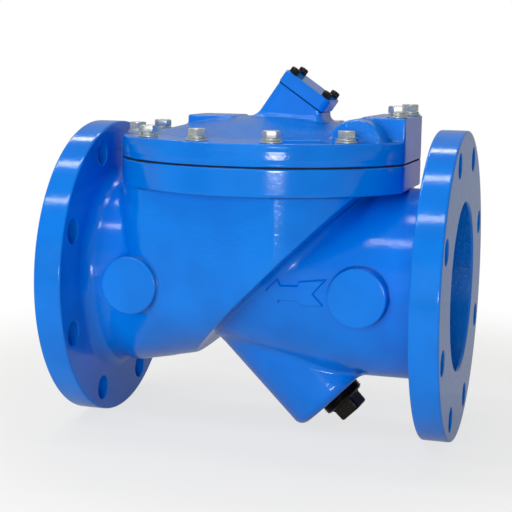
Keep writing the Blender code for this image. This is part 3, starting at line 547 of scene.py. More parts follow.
def lower_boss(x, y, z):
    """The plug's boss, and how far a point is along its axis and off it."""
    along = (x - z) * ROOT_HALF
    reach = np.hypot(y, (x + z - LOWER_BOSS_SUM) * ROOT_HALF)
    boss = meet(reach - LOWER_BOSS_R, between(along, LOWER_BOSS_FOOT, LOWER_BOSS_FACE), 9)
    return boss, along, reach


def side_boss(x, y, z, centre, face):
    """A blind boss on each side."""
    length = between(np.abs(y), SIDE_BOSS_ROOT, face)
    return meet(np.hypot(x - centre, z) - SIDE_BOSS_R, length, 1.6)


def outer_forms(x, y, z):
    """The casting as the pattern shapes it, before any hollow."""
    reach = np.hypot(y, z)
    outlet = pipe(x, reach, [-152, -125, -92, -70], [89, 87, 82, 74])
    outlet = np.maximum(outlet, between(x, -160, -72))
    outlet = join(outlet, flange(x, reach, -1), 11)
    inlet = np.maximum(way(x, y, z, 90, 86.5), np.maximum(x - 160, -seat_side(x, z, 7)))
    inlet = join(inlet, flange(x, reach, 1), 9)
    room = meet(chamber(x, y, z, 0, 0, CHAMBER_TOP), seat_side(x, z, 10), 1.4)
    soft = blended(z, 5, 35, 1.0, 0.0) * blended(np.abs(y), 30, 80, 0.0, 13.0)
    made = join(room, outlet, 3 + soft)
    made = join(made, inlet, blended(z, -50, 60, 2.0, 11.0))
    made = join(made, lower_boss(x, y, z)[0], 4)
    made = join(made, side_boss(x, y, z, INLET_BOSS_X, INLET_BOSS_FACE), 1.6)
    made = join(made, side_boss(x, y, z, OUTLET_BOSS_X, OUTLET_BOSS_FACE), 3)
    bonnet = meet(bonnet_outline(x, y), between(z, BONNET_LOW, JOINT_Z), 1.8)
    return join(made, bonnet, 1.2)


# %% [markdown]
# ### Hollows and holes
#
# Sand cores in the mould leave the chamber and the passage hollow, and the holes are drilled
# later. So one field holds the hollows, and the holes are cut after it with crisper edges.

# %% Body: hollows and holes
def inner_forms(x, y, z):
    """The chamber with its opening, the seat's raised land and both ways."""
    reach = np.hypot(y, z)
    room = chamber(x, y, z, WALL, FLOOR_WALL, CHAMBER_TOP - 4)
    opening = np.maximum(np.hypot(x - BONNET_X, y) - OPENING_R, 80 - z)
    pocket = np.maximum(np.maximum(between(x, 73.9, 100.9), np.abs(y) - HINGE_HALF), 81 - z)
    hollow = np.maximum(np.minimum(np.minimum(room, opening), pocket), seat_side(x, z, 0))
    off_axis = np.hypot(y, (x + z - SEAT_X - SEAT_Z) * ROOT_HALF)
    land = np.maximum(np.abs(off_axis - 83) - 5, np.abs(seat_side(x, z, 0)) - 2.8)
    hollow = np.maximum(hollow, -land)
    throat = np.maximum(off_axis - 78, np.abs(seat_side(x, z, 0)) - 8)
    way_in = np.maximum(way(x, y, z, 78, PORT_R), -seat_side(x, z, 9))
    way_out = np.maximum(reach - PORT_R, x - OUTLET_X)
    hollow = join(hollow, way_out, 6)
    return np.minimum(hollow, join(throat, way_in, 2))


def body_field(x, y, z):
    """The finished body."""
    solid = cut(outer_forms(x, y, z), inner_forms(x, y, z), 1.2)
    flange_holes = np.maximum(repeated(y, z, HOLE_CIRCLE_R, 8) - HOLE_R, 146 - np.abs(x))
    solid = cut(solid, flange_holes, 0.9)
    bolt_holes = repeated(x - BONNET_X, y, BOLT_CIRCLE_R, BOLTS) - BOLT_HOLE_R
    solid = cut(solid, np.maximum(bolt_holes, 89 - z), 0.5)
    round_way = np.hypot(x - HINGE_X, z - HINGE_Z)
    slot_above = np.maximum(np.abs(x - HINGE_X), HINGE_Z - z)
    pin_way = np.maximum(np.minimum(round_way, slot_above) - PIN_WAY_R, np.abs(y) - PIN_WAY_HALF)
    solid = np.maximum(solid, -pin_way)
    _, along, reach = lower_boss(x, y, z)
    return cut(solid, np.maximum(reach - PLUG_HOLE_R, PLUG_HOLE_END - along), 0.8)


FINE = 1.3
body = skin("body_casting", body_field, (-180, -142, -142), (180, 142, 142), FINE)

# %% [markdown]
# ## The cover casting
#
# The cover is a thick round plate, cut flat beside the inlet flange, with a low dome. On it
# stand a flat pad, a half-round rise over the hinge, a square block that carries two of the
# bolts, and a leaning pedestal for a position indicator.

# %% Cover
COVER_LOW, COVER_TOP, BLOCK_TOP = 111.2, 130.5, 150.5
DOME_R, DOME_RISE, HOLLOW_R, HOLLOW_RISE, HOLLOW_END = 112, 18.5, 96, 24.5, 69
HUMP_X, HUMP_Z, HUMP_R, HUMP_HALF, BLOCK_HALF = 92, 126, 24, 77, 46
PAD_X_RANGE, PAD_HALF, PAD_TOP = (-77, -33), 27, COVER_TOP + 18
BARREL_R, ARM_ROOM_X_RANGE, ARM_ROOM_TOP = 12, (66.9, 87.9), 116.5
TILT = math.radians(34.5)
PEDESTAL_X, PEDESTAL_Z, PEDESTAL_HALF, PEDESTAL_SIDE = 28.3, 166.4, 24.3, 21.0
LUG_X_RANGE, LUG_HALF, LUG_CLEAR, LUG_TOP = (-72, -42), 18, 11.6, 134


def dome(x, y, z, base_r, height, base_z):
    """A low bowl turned over, that reaches base_z at base_r."""
    reach = np.hypot(x - BONNET_X, y)
    rise = base_z + height * (1 - (reach / base_r) ** 2)
    return (z - rise) / np.hypot(1, 2 * height * reach / base_r**2)


def upright_box(x, y, z, x_range, half_width, top, corner, edge):
    """A box with round upright corners and a softer rim, open below."""
    sides = meet(between(x, *x_range), np.abs(y) - half_width, corner)
    return meet(sides, z - top, edge)


def pedestal(x, y, z):
    """A prism whose left wall stands square to the leaning top, and whose right wall is upright."""
    dx, dz = x - PEDESTAL_X, z - PEDESTAL_Z
    along = dx * math.cos(TILT) - dz * math.sin(TILT)
    up = dx * math.sin(TILT) + dz * math.cos(TILT)
    walls = meet(-PEDESTAL_HALF - along, np.abs(y) - PEDESTAL_SIDE, 6)
    walls = meet(walls, dx - PEDESTAL_HALF * math.cos(TILT), 5)
    return meet(walls, up, 0.6)


def stop_lug(x, y, z):
    """The lug that the open flapper meets, cut parallel to it."""
    open_lean = math.radians(10)
    below = (x - HINGE_X) * math.sin(open_lean) - (z - HINGE_Z) * math.cos(open_lean) + LUG_CLEAR
    sides = np.maximum(between(x, *LUG_X_RANGE), np.abs(y) - LUG_HALF)
    return np.maximum(sides, np.maximum(below, z - LUG_TOP))


def cover_field(x, y, z):
    """The cover, less its hollows and bolt holes."""
    outline = bonnet_outline(x, y)
    plate = meet(outline, z - COVER_TOP, 2.2)
    top = join(plate, np.maximum(dome(x, y, z, DOME_R, DOME_RISE, COVER_TOP), 120 - z), 7)
    hump = meet(np.hypot(x - HUMP_X, z - HUMP_Z) - HUMP_R, np.abs(y) - HUMP_HALF, 2.6)
    block = upright_box(x, y, z, (HUMP_X, 160), BLOCK_HALF, BLOCK_TOP, 2.5, 1.6)
    hump = join(hump, np.maximum(block, 100 - z), 3.5)
    top = join(top, hump, 2.5)
    pad = upright_box(x, y, z, PAD_X_RANGE, PAD_HALF, PAD_TOP, 6, 2)
    top = join(top, np.maximum(pad, 120 - z), 2.5)
    top = join(top, np.maximum(pedestal(x, y, z), 125 - z), 6)
    solid = meet(top, outline, 1.2)
    solid = meet(solid, COVER_LOW - z, 1)
    hollow = np.maximum(dome(x, y, z, HOLLOW_R, HOLLOW_RISE, COVER_LOW), x - HOLLOW_END)
    from_hinge = np.hypot(x - HINGE_X, z - HINGE_Z)
    barrel = np.maximum(from_hinge - BARREL_R, np.abs(y) - HINGE_HALF)
    arm_room = np.maximum(np.abs(y) - HINGE_HALF, z - ARM_ROOM_TOP)
    arm_room = np.maximum(between(x, *ARM_ROOM_X_RANGE), arm_room)
    pin_way = np.maximum(from_hinge - PIN_WAY_R, np.abs(y) - PIN_WAY_HALF)
    inside = np.minimum(np.minimum(hollow, barrel), np.minimum(arm_room, pin_way))
    solid = np.minimum(np.maximum(solid, -inside), stop_lug(x, y, z))
    return cut(solid, repeated(x - BONNET_X, y, BOLT_CIRCLE_R, BOLTS) - BOLT_HOLE_R, 0.4)


cover = skin("cover_casting", cover_field, (-142, -141, 96), (132, 141, 184), FINE * 0.85)
for piece, node in ((body, "valve_body"), (cover, "bonnet_cover")):
    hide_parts(node)
    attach(piece, "valve")

# %% [markdown]
# ## Flow arrow
#
# Beside the inlet boss the pattern carries a flow arrow, raised by two and a half
# millimetres. It lies on the pipe's curved wall, so it is made as a fine sheet: each point finds
# the wall along Y, and is lifted off it by a soft step across the arrow's outline.

# %% Arrow
ARROW = [
    (19.5, 0.8), (29.6, 11.6), (32.6, 6.1), (47.6, 6.5), (48.8, 10.3), (72.0, 13.1),
    (60.9, 0.3), (70.1, -10.1), (50.6, -10.8), (47.9, -7.0), (31.5, -6.9), (30.1, -9.6),
]  # fmt: skip
ARROW_RISE, ARROW_SOFT, ARROW_MARGIN, ARROW_STEP = 2.7, 0.7, 2.2, 0.4
ARROW_SUNK, ARROW_THICK, WALL_FRONT, WALL_STEPS = 0.12, 0.8, -105.0, 24


def from_outline(a, b, outline):
    """Distance in a plane from a closed outline, negative inside it."""
    nearest, inside = np.full(a.shape, 1e9), np.zeros(a.shape, bool)
    for (ax, az), (bx, bz) in zip(outline, outline[1:] + outline[:1]):
        dx, dz = bx - ax, bz - az
        share = np.clip(((a - ax) * dx + (b - az) * dz) / (dx**2 + dz**2), 0, 1)
        nearest = np.minimum(nearest, np.hypot(a - ax - share * dx, b - az - share * dz))
        if az != bz:
            inside ^= ((az > b) != (bz > b)) & (a < dx * (b - az) / dz + ax)
    return np.where(inside, -nearest, nearest)


def wall_depth(xs, zs):
    """The wall's y at each x and z, found from the front by walking along the field."""
    y = np.full(xs.shape, WALL_FRONT)
    for _ in range(WALL_STEPS):
        y = y + outer_forms(xs, y, zs) * 0.9
    return y


def flow_arrow():
    """A thin raised sheet with a front, a back and a rim round both."""
    grid = np.arange(14, 78, ARROW_STEP), np.arange(-16, 19, ARROW_STEP)
    xs, zs = np.meshgrid(*grid, indexing="ij")
    off = from_outline(xs, zs, ARROW)
    lift = ARROW_RISE * blended(off, ARROW_SOFT, -ARROW_SOFT, 0.0, 1.0) - ARROW_SUNK
    wall = wall_depth(xs, zs)
    keep = off < ARROW_MARGIN
    number = np.full(xs.shape, -1)
    count = keep.sum()
    number[keep] = np.arange(count)
    front = np.stack([xs[keep], (wall - lift)[keep], zs[keep]], 1)
    back = front + np.array([0, 1, 0]) * (ARROW_THICK + lift[keep])[:, None]
    corners = [number[:-1, :-1], number[1:, :-1], number[1:, 1:], number[:-1, 1:]]
    cells = np.stack([c.ravel() for c in corners], 1)
    cells = cells[(cells >= 0).all(1)]
    sides = np.concatenate([cells[:, [i, (i + 1) % 4]] for i in range(4)])
    _, found, seen = np.unique(np.sort(sides, 1), axis=0, return_index=True, return_counts=True)
    rim = sides[found[seen == 1]]
    walls = np.stack([rim[:, 1], rim[:, 0], rim[:, 0] + count, rim[:, 1] + count], 1)
    faces = [*cells.tolist(), *(cells[:, ::-1] + count).tolist(), *walls.tolist()]
    return mesh_object("flow_arrow", np.concatenate([front, back]) * MM, faces)


arrow = flow_arrow()
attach(arrow, "valve")
print("arrow", len(arrow.data.vertices), "points")

# %% [markdown]
# ## Fasteners
#
# Bolts, washers, screws and the plug are turned or rolled parts. Each is a stack of rings
# round an axis, where a ring's radius may change with the angle: six flats for a hexagon,
# ridges for a knurl, a running wave for a thread.

# %% Stacks of rings
def angles(steps):
    return np.arange(steps) * 2 * math.pi / steps


def ringed_solid(name, rings, steps, sharp=35):
    """Joins rings from the top down. A ring is a radius and a height, or one of each per step."""
    turns = angles(steps)
    points = []
    for radius, height in rings:
        r, h = np.broadcast_to(radius, steps), np.broadcast_to(height, steps)
        points.append(np.stack([r * np.cos(turns), r * np.sin(turns), h], 1))
    count = len(rings)
    middle = [[0, 0, points[0][:, 2].mean()], [0, 0, points[-1][:, 2].mean()]]
    faces = []
    for i in range(steps):
        j = (i + 1) % steps
        faces.append((count * steps, i, j))
        faces.append((count * steps + 1, (count - 1) * steps + j, (count - 1) * steps + i))
        for k in range(0, (count - 1) * steps, steps):
            faces.append((k + i, k + steps + i, k + steps + j, k + j))
    made = mesh_object(name, np.concatenate([*points, middle]) * MM, faces)
    made.data.set_sharp_from_angle(angle=math.radians(sharp))
    return made


def polygon_radius(across_flats, sides, steps):
    """Radius at each step of a regular polygon with this width across its flats."""
    sector = 2 * math.pi / sides
    turns = angles(steps)
    return across_flats / 2 / np.cos((turns + sector / 2) % sector - sector / 2)


# %% [markdown]
# ## Zinc plated bolts
#
# The heads are hot forged and trimmed, so the hexagon's corners run out in a 30 degree
# chamfer round the top. Each bolt stands on a split spring washer and a wide flat washer.

# %% Bolts and washers
BOLT_FLATS, BOLT_HEAD, BOLT_STEPS, SHANK_R = 14.3, 6.2, 72, 4.7
CHAMFER = math.tan(math.radians(30))
WASHER_R, WASHER_HOLE_R, WASHER_THICK, WASHER_EDGE, WASHER_STEPS = 9.45, 5.1, 1.6, 0.35, 64
SPRING_SPLIT, SPRING_RISE, SPRING_STEPS = 0.2, 0.3, 56
SPRING_WIRE = [
    (5.2, 0.05), (5.0, 0.3), (5.0, 1.7), (5.25, 1.95),
    (7.9, 1.95), (8.2, 1.65), (8.2, 0.35), (7.9, 0.05),
]  # fmt: skip
WASHER_LIFT, SPRING_LIFT, HEAD_LIFT = 0.1, 1.8, 4.2
BOLT_END_Z = 91


def cover_bolt(name, length):
    """A hexagon head on a plain shank."""
    flats = np.minimum(polygon_radius(BOLT_FLATS, 6, BOLT_STEPS), BOLT_FLATS / 2 * 1.135)
    crown, foot = BOLT_FLATS / 2 * 0.93, BOLT_FLATS / 2 * 0.95
    slope_top = BOLT_HEAD - np.maximum(flats - crown, 0) * CHAMFER
    rings = [
        (crown * 0.55, BOLT_HEAD - 0.22), (crown * 0.8, BOLT_HEAD - 0.1), (crown * 0.97, BOLT_HEAD),
        (crown, BOLT_HEAD - 0.05), (flats * 0.994, slope_top + 0.08), (flats, slope_top - 0.18),
        (flats, 0.5), (flats * 0.985, 0.25), (foot, 0.2), (foot, 0),
        (SHANK_R, 0), (SHANK_R, 1.2 - length), (SHANK_R - 1, -length),
    ]  # fmt: skip
    return ringed_solid(name, rings, BOLT_STEPS, 28)


def flat_washer(name):
    """A stamped ring, its rim a little round."""
    low, high, outer, edge = 0.0, WASHER_THICK, WASHER_R, WASHER_EDGE
    rings = [
        (WASHER_HOLE_R, high), (outer - edge, high), (outer - edge * 0.3, high - edge * 0.3),
        (outer, high - edge), (outer, low + edge), (outer - edge, low), (WASHER_HOLE_R, low),
    ]  # fmt: skip
    return ringed_solid(name, rings, WASHER_STEPS)


def spring_washer(name):
    """One turn of a squared wire, its ends parted and a little out of line."""
    turns = np.linspace(SPRING_SPLIT / 2, 2 * math.pi - SPRING_SPLIT / 2, SPRING_STEPS)
    points = [
        (r * math.cos(t), r * math.sin(t), z + SPRING_RISE * t / (2 * math.pi))
        for t in turns
        for r, z in SPRING_WIRE
    ]
    n = len(SPRING_WIRE)
    faces = [
        (k * n + i, k * n + (i + 1) % n, (k + 1) * n + (i + 1) % n, (k + 1) * n + i)
        for k in range(len(turns) - 1)
        for i in range(n)
    ]
    faces += [tuple(reversed(range(n))), tuple((len(turns) - 1) * n + i for i in range(n))]
    made = mesh_object(name, np.array(points) * MM, faces)
    made.data.set_sharp_from_angle(angle=math.radians(50))
    return made


def centre_and_rest(number):
    """A bolt's axis, the height of the face that it stands on and its angle round the cover."""
    turn = 2 * math.pi * (number + 0.5) / BOLTS
    x, y = BONNET_X + BOLT_CIRCLE_R * math.cos(turn), BOLT_CIRCLE_R * math.sin(turn)
    on_block = x > HUMP_X and abs(y) < BLOCK_HALF
    return x, y, BLOCK_TOP if on_block else COVER_TOP, turn


def dressed(source, name, place, node):
    """Another object with the source's mesh, standing for one CAD node."""
    made = placed(name, source.data)
    made.matrix_world = place
    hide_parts(node)
    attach(made, "valve")
    return made


def fasteners():
    """Twelve bolts with their washers, each turned to its own angle."""
    long_bolt = cover_bolt("long_bolt", BLOCK_TOP + HEAD_LIFT - BOLT_END_Z)
    short_bolt = cover_bolt("short_bolt", COVER_TOP + HEAD_LIFT - BOLT_END_Z)
    flat = flat_washer("flat_washer_pattern")
    spring = spring_washer("spring_washer_pattern")
    made = []
    for number in range(BOLTS):
        x, y, rest, turn = centre_and_rest(number)
        head = long_bolt if rest > COVER_TOP + 1 else short_bolt
        for kind, source, lift, angle in (
            ("cover_bolt", head, HEAD_LIFT, turn * 5),
            ("spring_washer", spring, SPRING_LIFT, turn * 3 - 1.2),
            ("flat_washer", flat, WASHER_LIFT, turn),
        ):
            node = f"{kind}_{number + 1:02d}"
            place = Matrix.Translation(Vector((x, y, rest + lift)) * MM)
            place = place @ Matrix.Rotation(angle, 4, "Z")
            made.append(dressed(source, "visual_" + node, place, node))
    for source in (long_bolt, short_bolt, flat, spring):
        bpy.data.objects.remove(source)
    return made


zinc_pieces = fasteners()
print(len(zinc_pieces), "bolts and washers")

# %% [markdown]
# ## Indicator port
#
# A blank plate closes the port on the pedestal. It is cast and painted with the cover, and
# held by four socket head screws with a knurled rim and a black oxide finish.

# %% Plate, its gasket and screws
PLATE_LENGTH, PLATE_WIDTH, PLATE_LOW, PLATE_HIGH = 49.8, 43.2, 0.85, 13.0
SCREW_ALONG, SCREW_ACROSS, SCREW_R, SCREW_HEAD, SCREW_GRIP = 18.3, 14.8, 4.25, 5.0, 24.0
SCREW_HOLE_R, SOCKET_FLATS, KNURLS, KNURL_DEPTH, KNURL_STEPS = 2.8, 4.0, 22, 0.32, 132


def leaning(along, across, up):
    """A placement on the pedestal's face, with Z square to it."""
    tilted = Matrix.Rotation(TILT, 4, "Y")
    foot = Vector((PEDESTAL_X, 0, PEDESTAL_Z)) * MM
    return Matrix.Translation(foot) @ tilted @ Matrix.Translation(Vector((along, across, up)) * MM)


def plate_field(x, y, z):
    """The blank plate with its four screw holes, lying flat."""
    outline = meet(np.abs(x) - PLATE_LENGTH / 2, np.abs(y) - PLATE_WIDTH / 2, 6)
    made = meet(meet(outline, z - PLATE_HIGH, 1.7), PLATE_LOW - z, 0.6)
    holes = np.hypot(np.abs(x) - SCREW_ALONG, np.abs(y) - SCREW_ACROSS) - SCREW_HOLE_R
    return cut(made, holes, 0.3)


plate = skin(
    "indicator_plate", plate_field, (-27, -24, -1), (27, 24, 15), FINE * 0.55, leaning(0, 0, 0)
)
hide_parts("indicator_cover_plate")
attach(plate, "valve")


def knurled_screw():
    """A socket head cap screw: hexagon socket, knurled rim and a plain shank."""
    knurl = SCREW_R - KNURL_DEPTH * np.abs(np.sin(angles(KNURL_STEPS) * KNURLS / 2)) ** 1.5
    socket = polygon_radius(SOCKET_FLATS, 6, KNURL_STEPS)
    rings = [
        (0.2, 2.0), (socket * 0.98, 2.4), (socket, SCREW_HEAD - 0.25), (socket + 0.2, SCREW_HEAD),
        (SCREW_R - 0.9, SCREW_HEAD), (knurl - 0.25, SCREW_HEAD - 0.45), (knurl, SCREW_HEAD - 0.75),
        (knurl, 0.2), (SCREW_R - 0.4, 0), (2.5, 0), (2.5, 1 - SCREW_GRIP), (2.0, -SCREW_GRIP),
    ]  # fmt: skip
    return ringed_solid("screw_pattern", rings, KNURL_STEPS, 40)


def indicator_screws():
    """Four screws square to the plate, each with its own mesh."""
    pattern = knurled_screw()
    made = []
    places = [(SCREW_ALONG * a, SCREW_ACROSS * b) for a in (-1, 1) for b in (-1, 1)]
    for number, (along, across) in enumerate(places, 1):
        place = leaning(along, across, PLATE_HIGH + 0.2) @ Matrix.Rotation(number * 1.1, 4, "Z")
        node = f"indicator_screw_{number}"
        screw = dressed(pattern, "visual_" + node, Matrix(), node)
        screw.data = pattern.data.copy()
        screw.data.transform(place)
        made.append(screw)
    bpy.data.objects.remove(pattern)
    return made


screws = indicator_screws()


def thin_gasket(name, outline, hole_edge, levels, place, node):
    """A flat ring between two outlines with as many points each."""
    (low, high), n = levels, len(outline)
    loops = [(outline, high), (outline, low), (hole_edge, low), (hole_edge, high)]
    points = [(x, y, z) for loop, z in loops for x, y in loop]
    faces = []
    for k in range(4):
        here, ahead = k * n, (k + 1) % 4 * n
        faces += [(here + i, ahead + i, ahead + (i + 1) % n, here + (i + 1) % n) for i in range(n)]
    made = mesh_object(name, np.array(points) * MM, faces, smooth=False)
    made.data.transform(place)
    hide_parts(node)
    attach(made, "valve")
    return made


GASKET_STEPS = 360
GASKET_TURNS = np.arange(GASKET_STEPS) * math.pi / 180
GASKET_COS, GASKET_SIN = np.cos(GASKET_TURNS), np.sin(GASKET_TURNS)
GASKET_LEVELS, GASKET_WAVES = (110.15, 111.05), ((0.35, 5, 1), (0.25, 13, 0), (0.15, 37, 0))
PORT_SHEET_LEVELS, PORT_HOLE_R = (0.2, 0.75), 12
PORT_SHEET_HALF, PORT_SHEET_OVAL = (23.7, 20.4), (24.0, 20.7)


def cover_gasket():
    """Cut by hand round the bonnet, so its edge wanders by up to three quarters of a millimetre."""
    wander = sum(size * np.sin(waves * GASKET_TURNS + start) for size, waves, start in GASKET_WAVES)
    reach = BONNET_R - 0.75 + wander
    x = np.minimum(BONNET_X + reach * GASKET_COS, BONNET_FLAT - 0.8)
    outline = np.stack([x, reach * GASKET_SIN], 1)
    inner = np.stack([BONNET_X + OPENING_R * GASKET_COS, OPENING_R * GASKET_SIN], 1)
    return thin_gasket(
        "cover_gasket_sheet", outline, inner, GASKET_LEVELS, Matrix(), "cover_gasket"
    )


def port_gasket():
    """A rectangle with a round hole, on the pedestal's face."""
    corner = polygon_radius(2.0, 4, GASKET_STEPS)
    oval_x, oval_y = PORT_SHEET_OVAL
    outline = np.stack([oval_x * GASKET_COS * corner, oval_y * GASKET_SIN * corner], 1)
    outline = np.clip(outline, np.negative(PORT_SHEET_HALF), PORT_SHEET_HALF)
    inner = np.stack([PORT_HOLE_R * GASKET_COS, PORT_HOLE_R * GASKET_SIN], 1)
    face = leaning(0, 0, 0)
    return thin_gasket(
        "port_gasket_sheet", outline, inner, PORT_SHEET_LEVELS, face, "indicator_gasket"
    )


gaskets = [cover_gasket(), port_gasket()]
print("port closed with", len(screws), "screws")

# %% [markdown]
# ## Drain plug
#
# The plug is a cast pipe plug with a cut thread, of which about four turns show, and a
# square head for a wrench. Its edges are worn round.

# %% Plug
PLUG_R, PLUG_BACK, PLUG_TOP, PLUG_HEAD_TOP = 21.0, 109.4, 133.0, 146.0
PLUG_SQUARE, PLUG_TURN, PLUG_STEPS = 22.6, math.radians(12.4), 120
PLUG_SQUARENESS, PLUG_START = 11, -20.75
PITCH, THREAD_DEPTH, RINGS_PER_TURN = 2.2, 1.15, 9


def thread_rings():
    """Rings down a helical thread: the wave moves on by one pitch in each turn."""
    around = np.arange(PLUG_STEPS) / PLUG_STEPS
    rings = []
    for height in np.arange(PLUG_TOP - 1.2, PLUG_BACK + 1.2, -PITCH / RINGS_PER_TURN):
        phase = (height / PITCH - around) % 1
        tooth = np.clip(np.abs(phase - 0.5) * 2.6 - 0.15, 0, 1)
        fade = np.clip((PLUG_TOP - 0.6 - height) / 1.6, 0, 1)
        rings.append((PLUG_R - THREAD_DEPTH * np.maximum(1 - tooth, 1 - fade), height))
    return rings


def drain_plug():
    """A worn square head over the thread."""
    turns, power = angles(PLUG_STEPS), PLUG_SQUARENESS
    powers = np.abs(np.cos(turns)) ** power + np.abs(np.sin(turns)) ** power
    square = PLUG_SQUARE / 2 / powers ** (1 / power)
    rings = [
        (square * 0.55, PLUG_HEAD_TOP - 0.1), (square * 0.86, PLUG_HEAD_TOP),
        (square * 0.95, PLUG_HEAD_TOP - 0.5), (square * 0.995, PLUG_HEAD_TOP - 1.6),
        (square, PLUG_HEAD_TOP - 3), (square * 1.01, PLUG_TOP + 2.2),
        (square * 1.05, PLUG_TOP + 0.8), (np.maximum(square * 1.12, 14.0), PLUG_TOP),
        (PLUG_R - 2.6, PLUG_TOP - 0.1), (PLUG_R - 1.5, PLUG_TOP - 0.8),
        *thread_rings(), (PLUG_R - 1.4, PLUG_BACK),
    ]  # fmt: skip
    made = ringed_solid("drain_plug_turned", rings, PLUG_STEPS, 42)
    down = Matrix.Rotation(math.radians(135), 4, "Y")
    start = Matrix.Translation(Vector((PLUG_START, 0, PLUG_START)) * MM)
    made.data.transform(start @ down @ Matrix.Rotation(PLUG_TURN, 4, "Z"))
    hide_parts("drain_plug")
    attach(made, "valve")
    return made


plug = drain_plug()
print("plug", len(plug.data.vertices), "points")

# %% [markdown]
# ## Blue epoxy over cast iron
#
# Fusion bonded epoxy is a thick, glossy coat. It has an IOR of about 1.5 and no metal in it.
# It dries with orange peel, a soft ripple a few millimetres across, and the sand's
# grain shows through where the casting is rough: on the dome, the rise and inside the ports.

# %% Blue paint
PEEL_MM, SAND_MM, CLOUD_MM = 4.0, 2.4, 45.0
# Painted shade in tight inside corners: how far the curvature is sampled, where the shade starts
# and its darkest share.
SHADE_REACH, SHADE_START, SHADE_MOST = 1.2, 0.15, 0.85

# Glossy fusion bonded epoxy on sand cast iron.
paint, paint_tree, paint_shader = new_material(
    "blue_epoxy_paint", Base_Color=linear("#007FEB"), Roughness=0.12, IOR=1.5
)
place = add_node(paint_tree, "ShaderNodeTexCoord").outputs["Object"]
peel = noise_of(paint_tree, place, PEEL_MM, 1.0)
sand = noise_of(paint_tree, place, SAND_MM, 3.0)
cloud = noise_of(paint_tree, place, CLOUD_MM, 2.0)
how_rough = add_node(paint_tree, "ShaderNodeAttribute", {"attribute_name": "sand"}).outputs["Fac"]
peel_bump = add_node(paint_tree, "ShaderNodeBump", Height=peel, Strength=0.22, Distance=0.22 * MM)
sand_bump = add_node(
    paint_tree,
    "ShaderNodeBump",
    Height=maths(paint_tree, "MULTIPLY", sand, how_rough),
    Strength=0.7,
    Distance=1.3 * MM,
    Normal=peel_bump.outputs["Normal"],
)
tone = tinted(paint_tree, cloud, "#007AE4", "#0083F0")
# Painted shade: where the corner attribute marks a tight inside corner, the blue is mixed towards
# dark navy (#03142F).
corner = add_node(paint_tree, "ShaderNodeAttribute", {"attribute_name": "corner"}).outputs["Fac"]
shaded = add_node(
    paint_tree,
    "ShaderNodeMix",
    {"data_type": "RGBA"},
    _0=corner,
    _6=tone,
    _7=linear("#03142F"),
)
link_colour_and_bump(paint_tree, paint_shader, shaded.outputs[2], sand_bump.outputs["Normal"])


def vertex_places(obj):
    """The mesh's points in metres, one row each."""
    points = np.empty(len(obj.data.vertices) * 3, np.float32)
    obj.data.vertices.foreach_get("co", points)
    return points.reshape(-1, 3)


def store_marks(obj, name, values):
    """Stores a value for each vertex, for the paint to read."""
    marks = obj.data.attributes.new(name, "FLOAT", "POINT")
    marks.data.foreach_set("value", values.astype(np.float32))


def painted_corner_shade(obj, field):
    """Marks tight inside corners, from the field's curvature, for painted shade: the paint is
    darkened in them.
    """
    points = vertex_places(obj).astype(np.float64) / MM
    bend = -6 * field(*points.T)
    for axis in range(3):
        for side in (-SHADE_REACH, SHADE_REACH):
            moved = points.copy()
            moved[:, axis] += side
            bend += field(*moved.T)
    store_marks(obj, "corner", np.clip(-bend / SHADE_REACH**2 - SHADE_START, 0, SHADE_MOST))


def sand_marks(obj, rough_at):
    """Marks how rough the casting is, from 0 to 1."""
    store_marks(obj, "sand", rough_at(*(vertex_places(obj) / MM).T))


def body_sand(x, y, z):
    """Rough inside the ports, smooth on the flanges."""
    reach = np.hypot(y, z)
    inside = (reach < 78) & (np.abs(x) < 176)
    machined = (np.abs(x) > 153) | (z > BONNET_LOW + 1)
    return np.where(inside, 0.9, np.where(machined, 0.04, 0.16))


def cover_sand(x, y, z):
    """Rough on the hump's ends and the dome, smooth on the rim."""
    reach = np.hypot(x - BONNET_X, y)
    on_dome = (reach < 114) & (z > COVER_TOP + 0.8) & (z < 150)
    on_hump = (np.hypot(x - HUMP_X, z - HUMP_Z) < HUMP_R - 1) & (np.abs(y) > HUMP_HALF - 3)
    on_hump &= z > COVER_TOP + 1
    return np.where(on_hump, 1.0, np.where(on_dome, 0.75, 0.08))


sand_marks(body, body_sand)
sand_marks(cover, cover_sand)
# Painted shade in the castings' tight inside corners, such as under the bonnet flange and along the
# seat's ridge.
painted_corner_shade(body, body_field)
painted_corner_shade(cover, cover_field)
print("painted", body.name, "and", cover.name)

# %% [markdown]
# ## Metals, rubber and sheet
#
# Zinc plate is a bright metal with a warm grey tint and fine uneven crystals. Black oxide
# is a thin dark skin that still shines at its edges. The gasket and the rubber are dull.

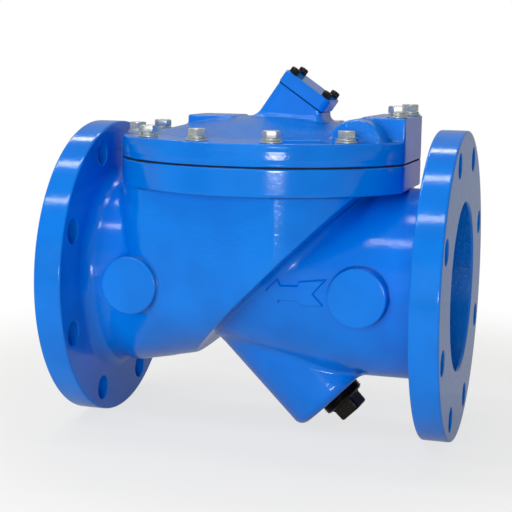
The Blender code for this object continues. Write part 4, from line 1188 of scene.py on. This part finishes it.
# %% Other finishes
def mottled(name, colour, size_mm, dark, light, depth_mm, **sockets):
    """A finish with fine changes of colour and height of a given size."""
    made, tree, shader = new_material(name, Base_Color=linear(colour), **sockets)
    place = add_node(tree, "ShaderNodeTexCoord").outputs["Object"]
    grain = noise_of(tree, place, size_mm, 3.0)
    bump = add_node(tree, "ShaderNodeBump", Height=grain, Strength=0.4, Distance=depth_mm * MM)
    link_colour_and_bump(tree, shader, tinted(tree, grain, dark, light), bump.outputs["Normal"])
    return made


# Bolts and washers: bright zinc plate on steel.
zinc = mottled(
    "zinc_plated_steel", "#E2E4DE", 1.8, "#D6D8D0", "#EEF0EC", 0.06, Metallic=0.75, Roughness=0.33
)
# Screws and plug: oiled black oxide on steel.
oxide = mottled(
    "black_oxide_steel", "#34312E", 1.2, "#2A2724", "#403C38", 0.08, Metallic=0.9, Roughness=0.34
)
# Flapper: moulded nitrile rubber.
rubber = mottled("nitrile_rubber", "#18191A", 2.0, "#141516", "#1E1F20", 0.15, Roughness=0.6)
# Flapper's disc and the pin: turned stainless steel.
steel = mottled(
    "stainless_steel", "#B9B8B4", 1.5, "#A9A8A4", "#C6C5C1", 0.04, Metallic=1.0, Roughness=0.32
)
# Gaskets: compressed fibre sheet.
gasket_sheet = mottled("gasket_sheet", "#0E0F0F", 1.0, "#0B0C0C", "#151616", 0.1, Roughness=0.75)
FINISH_OF = {
    "blue_epoxy_paint": paint,
    "zinc_plated_steel": zinc,
    "black_oxide_steel": oxide,
    "nitrile_rubber": rubber,
    "stainless_steel": steel,
    "gasket_sheet": gasket_sheet,
}


def finish_with(obj, finish):
    obj.data.materials.clear()
    obj.data.materials.append(finish)


slot_of = {part["node"]: part["material_slot"] for part in frame["record"]["subparts"]}
for node_name, node in frame["nodes"].items():
    finish_with(node, FINISH_OF[slot_of[node_name]])
for pieces, finish in (
    ((body, cover, arrow, plate), paint),
    (zinc_pieces, zinc),
    ((*screws, plug), oxide),
    (gaskets, gasket_sheet),
):
    for piece in pieces:
        finish_with(piece, finish)
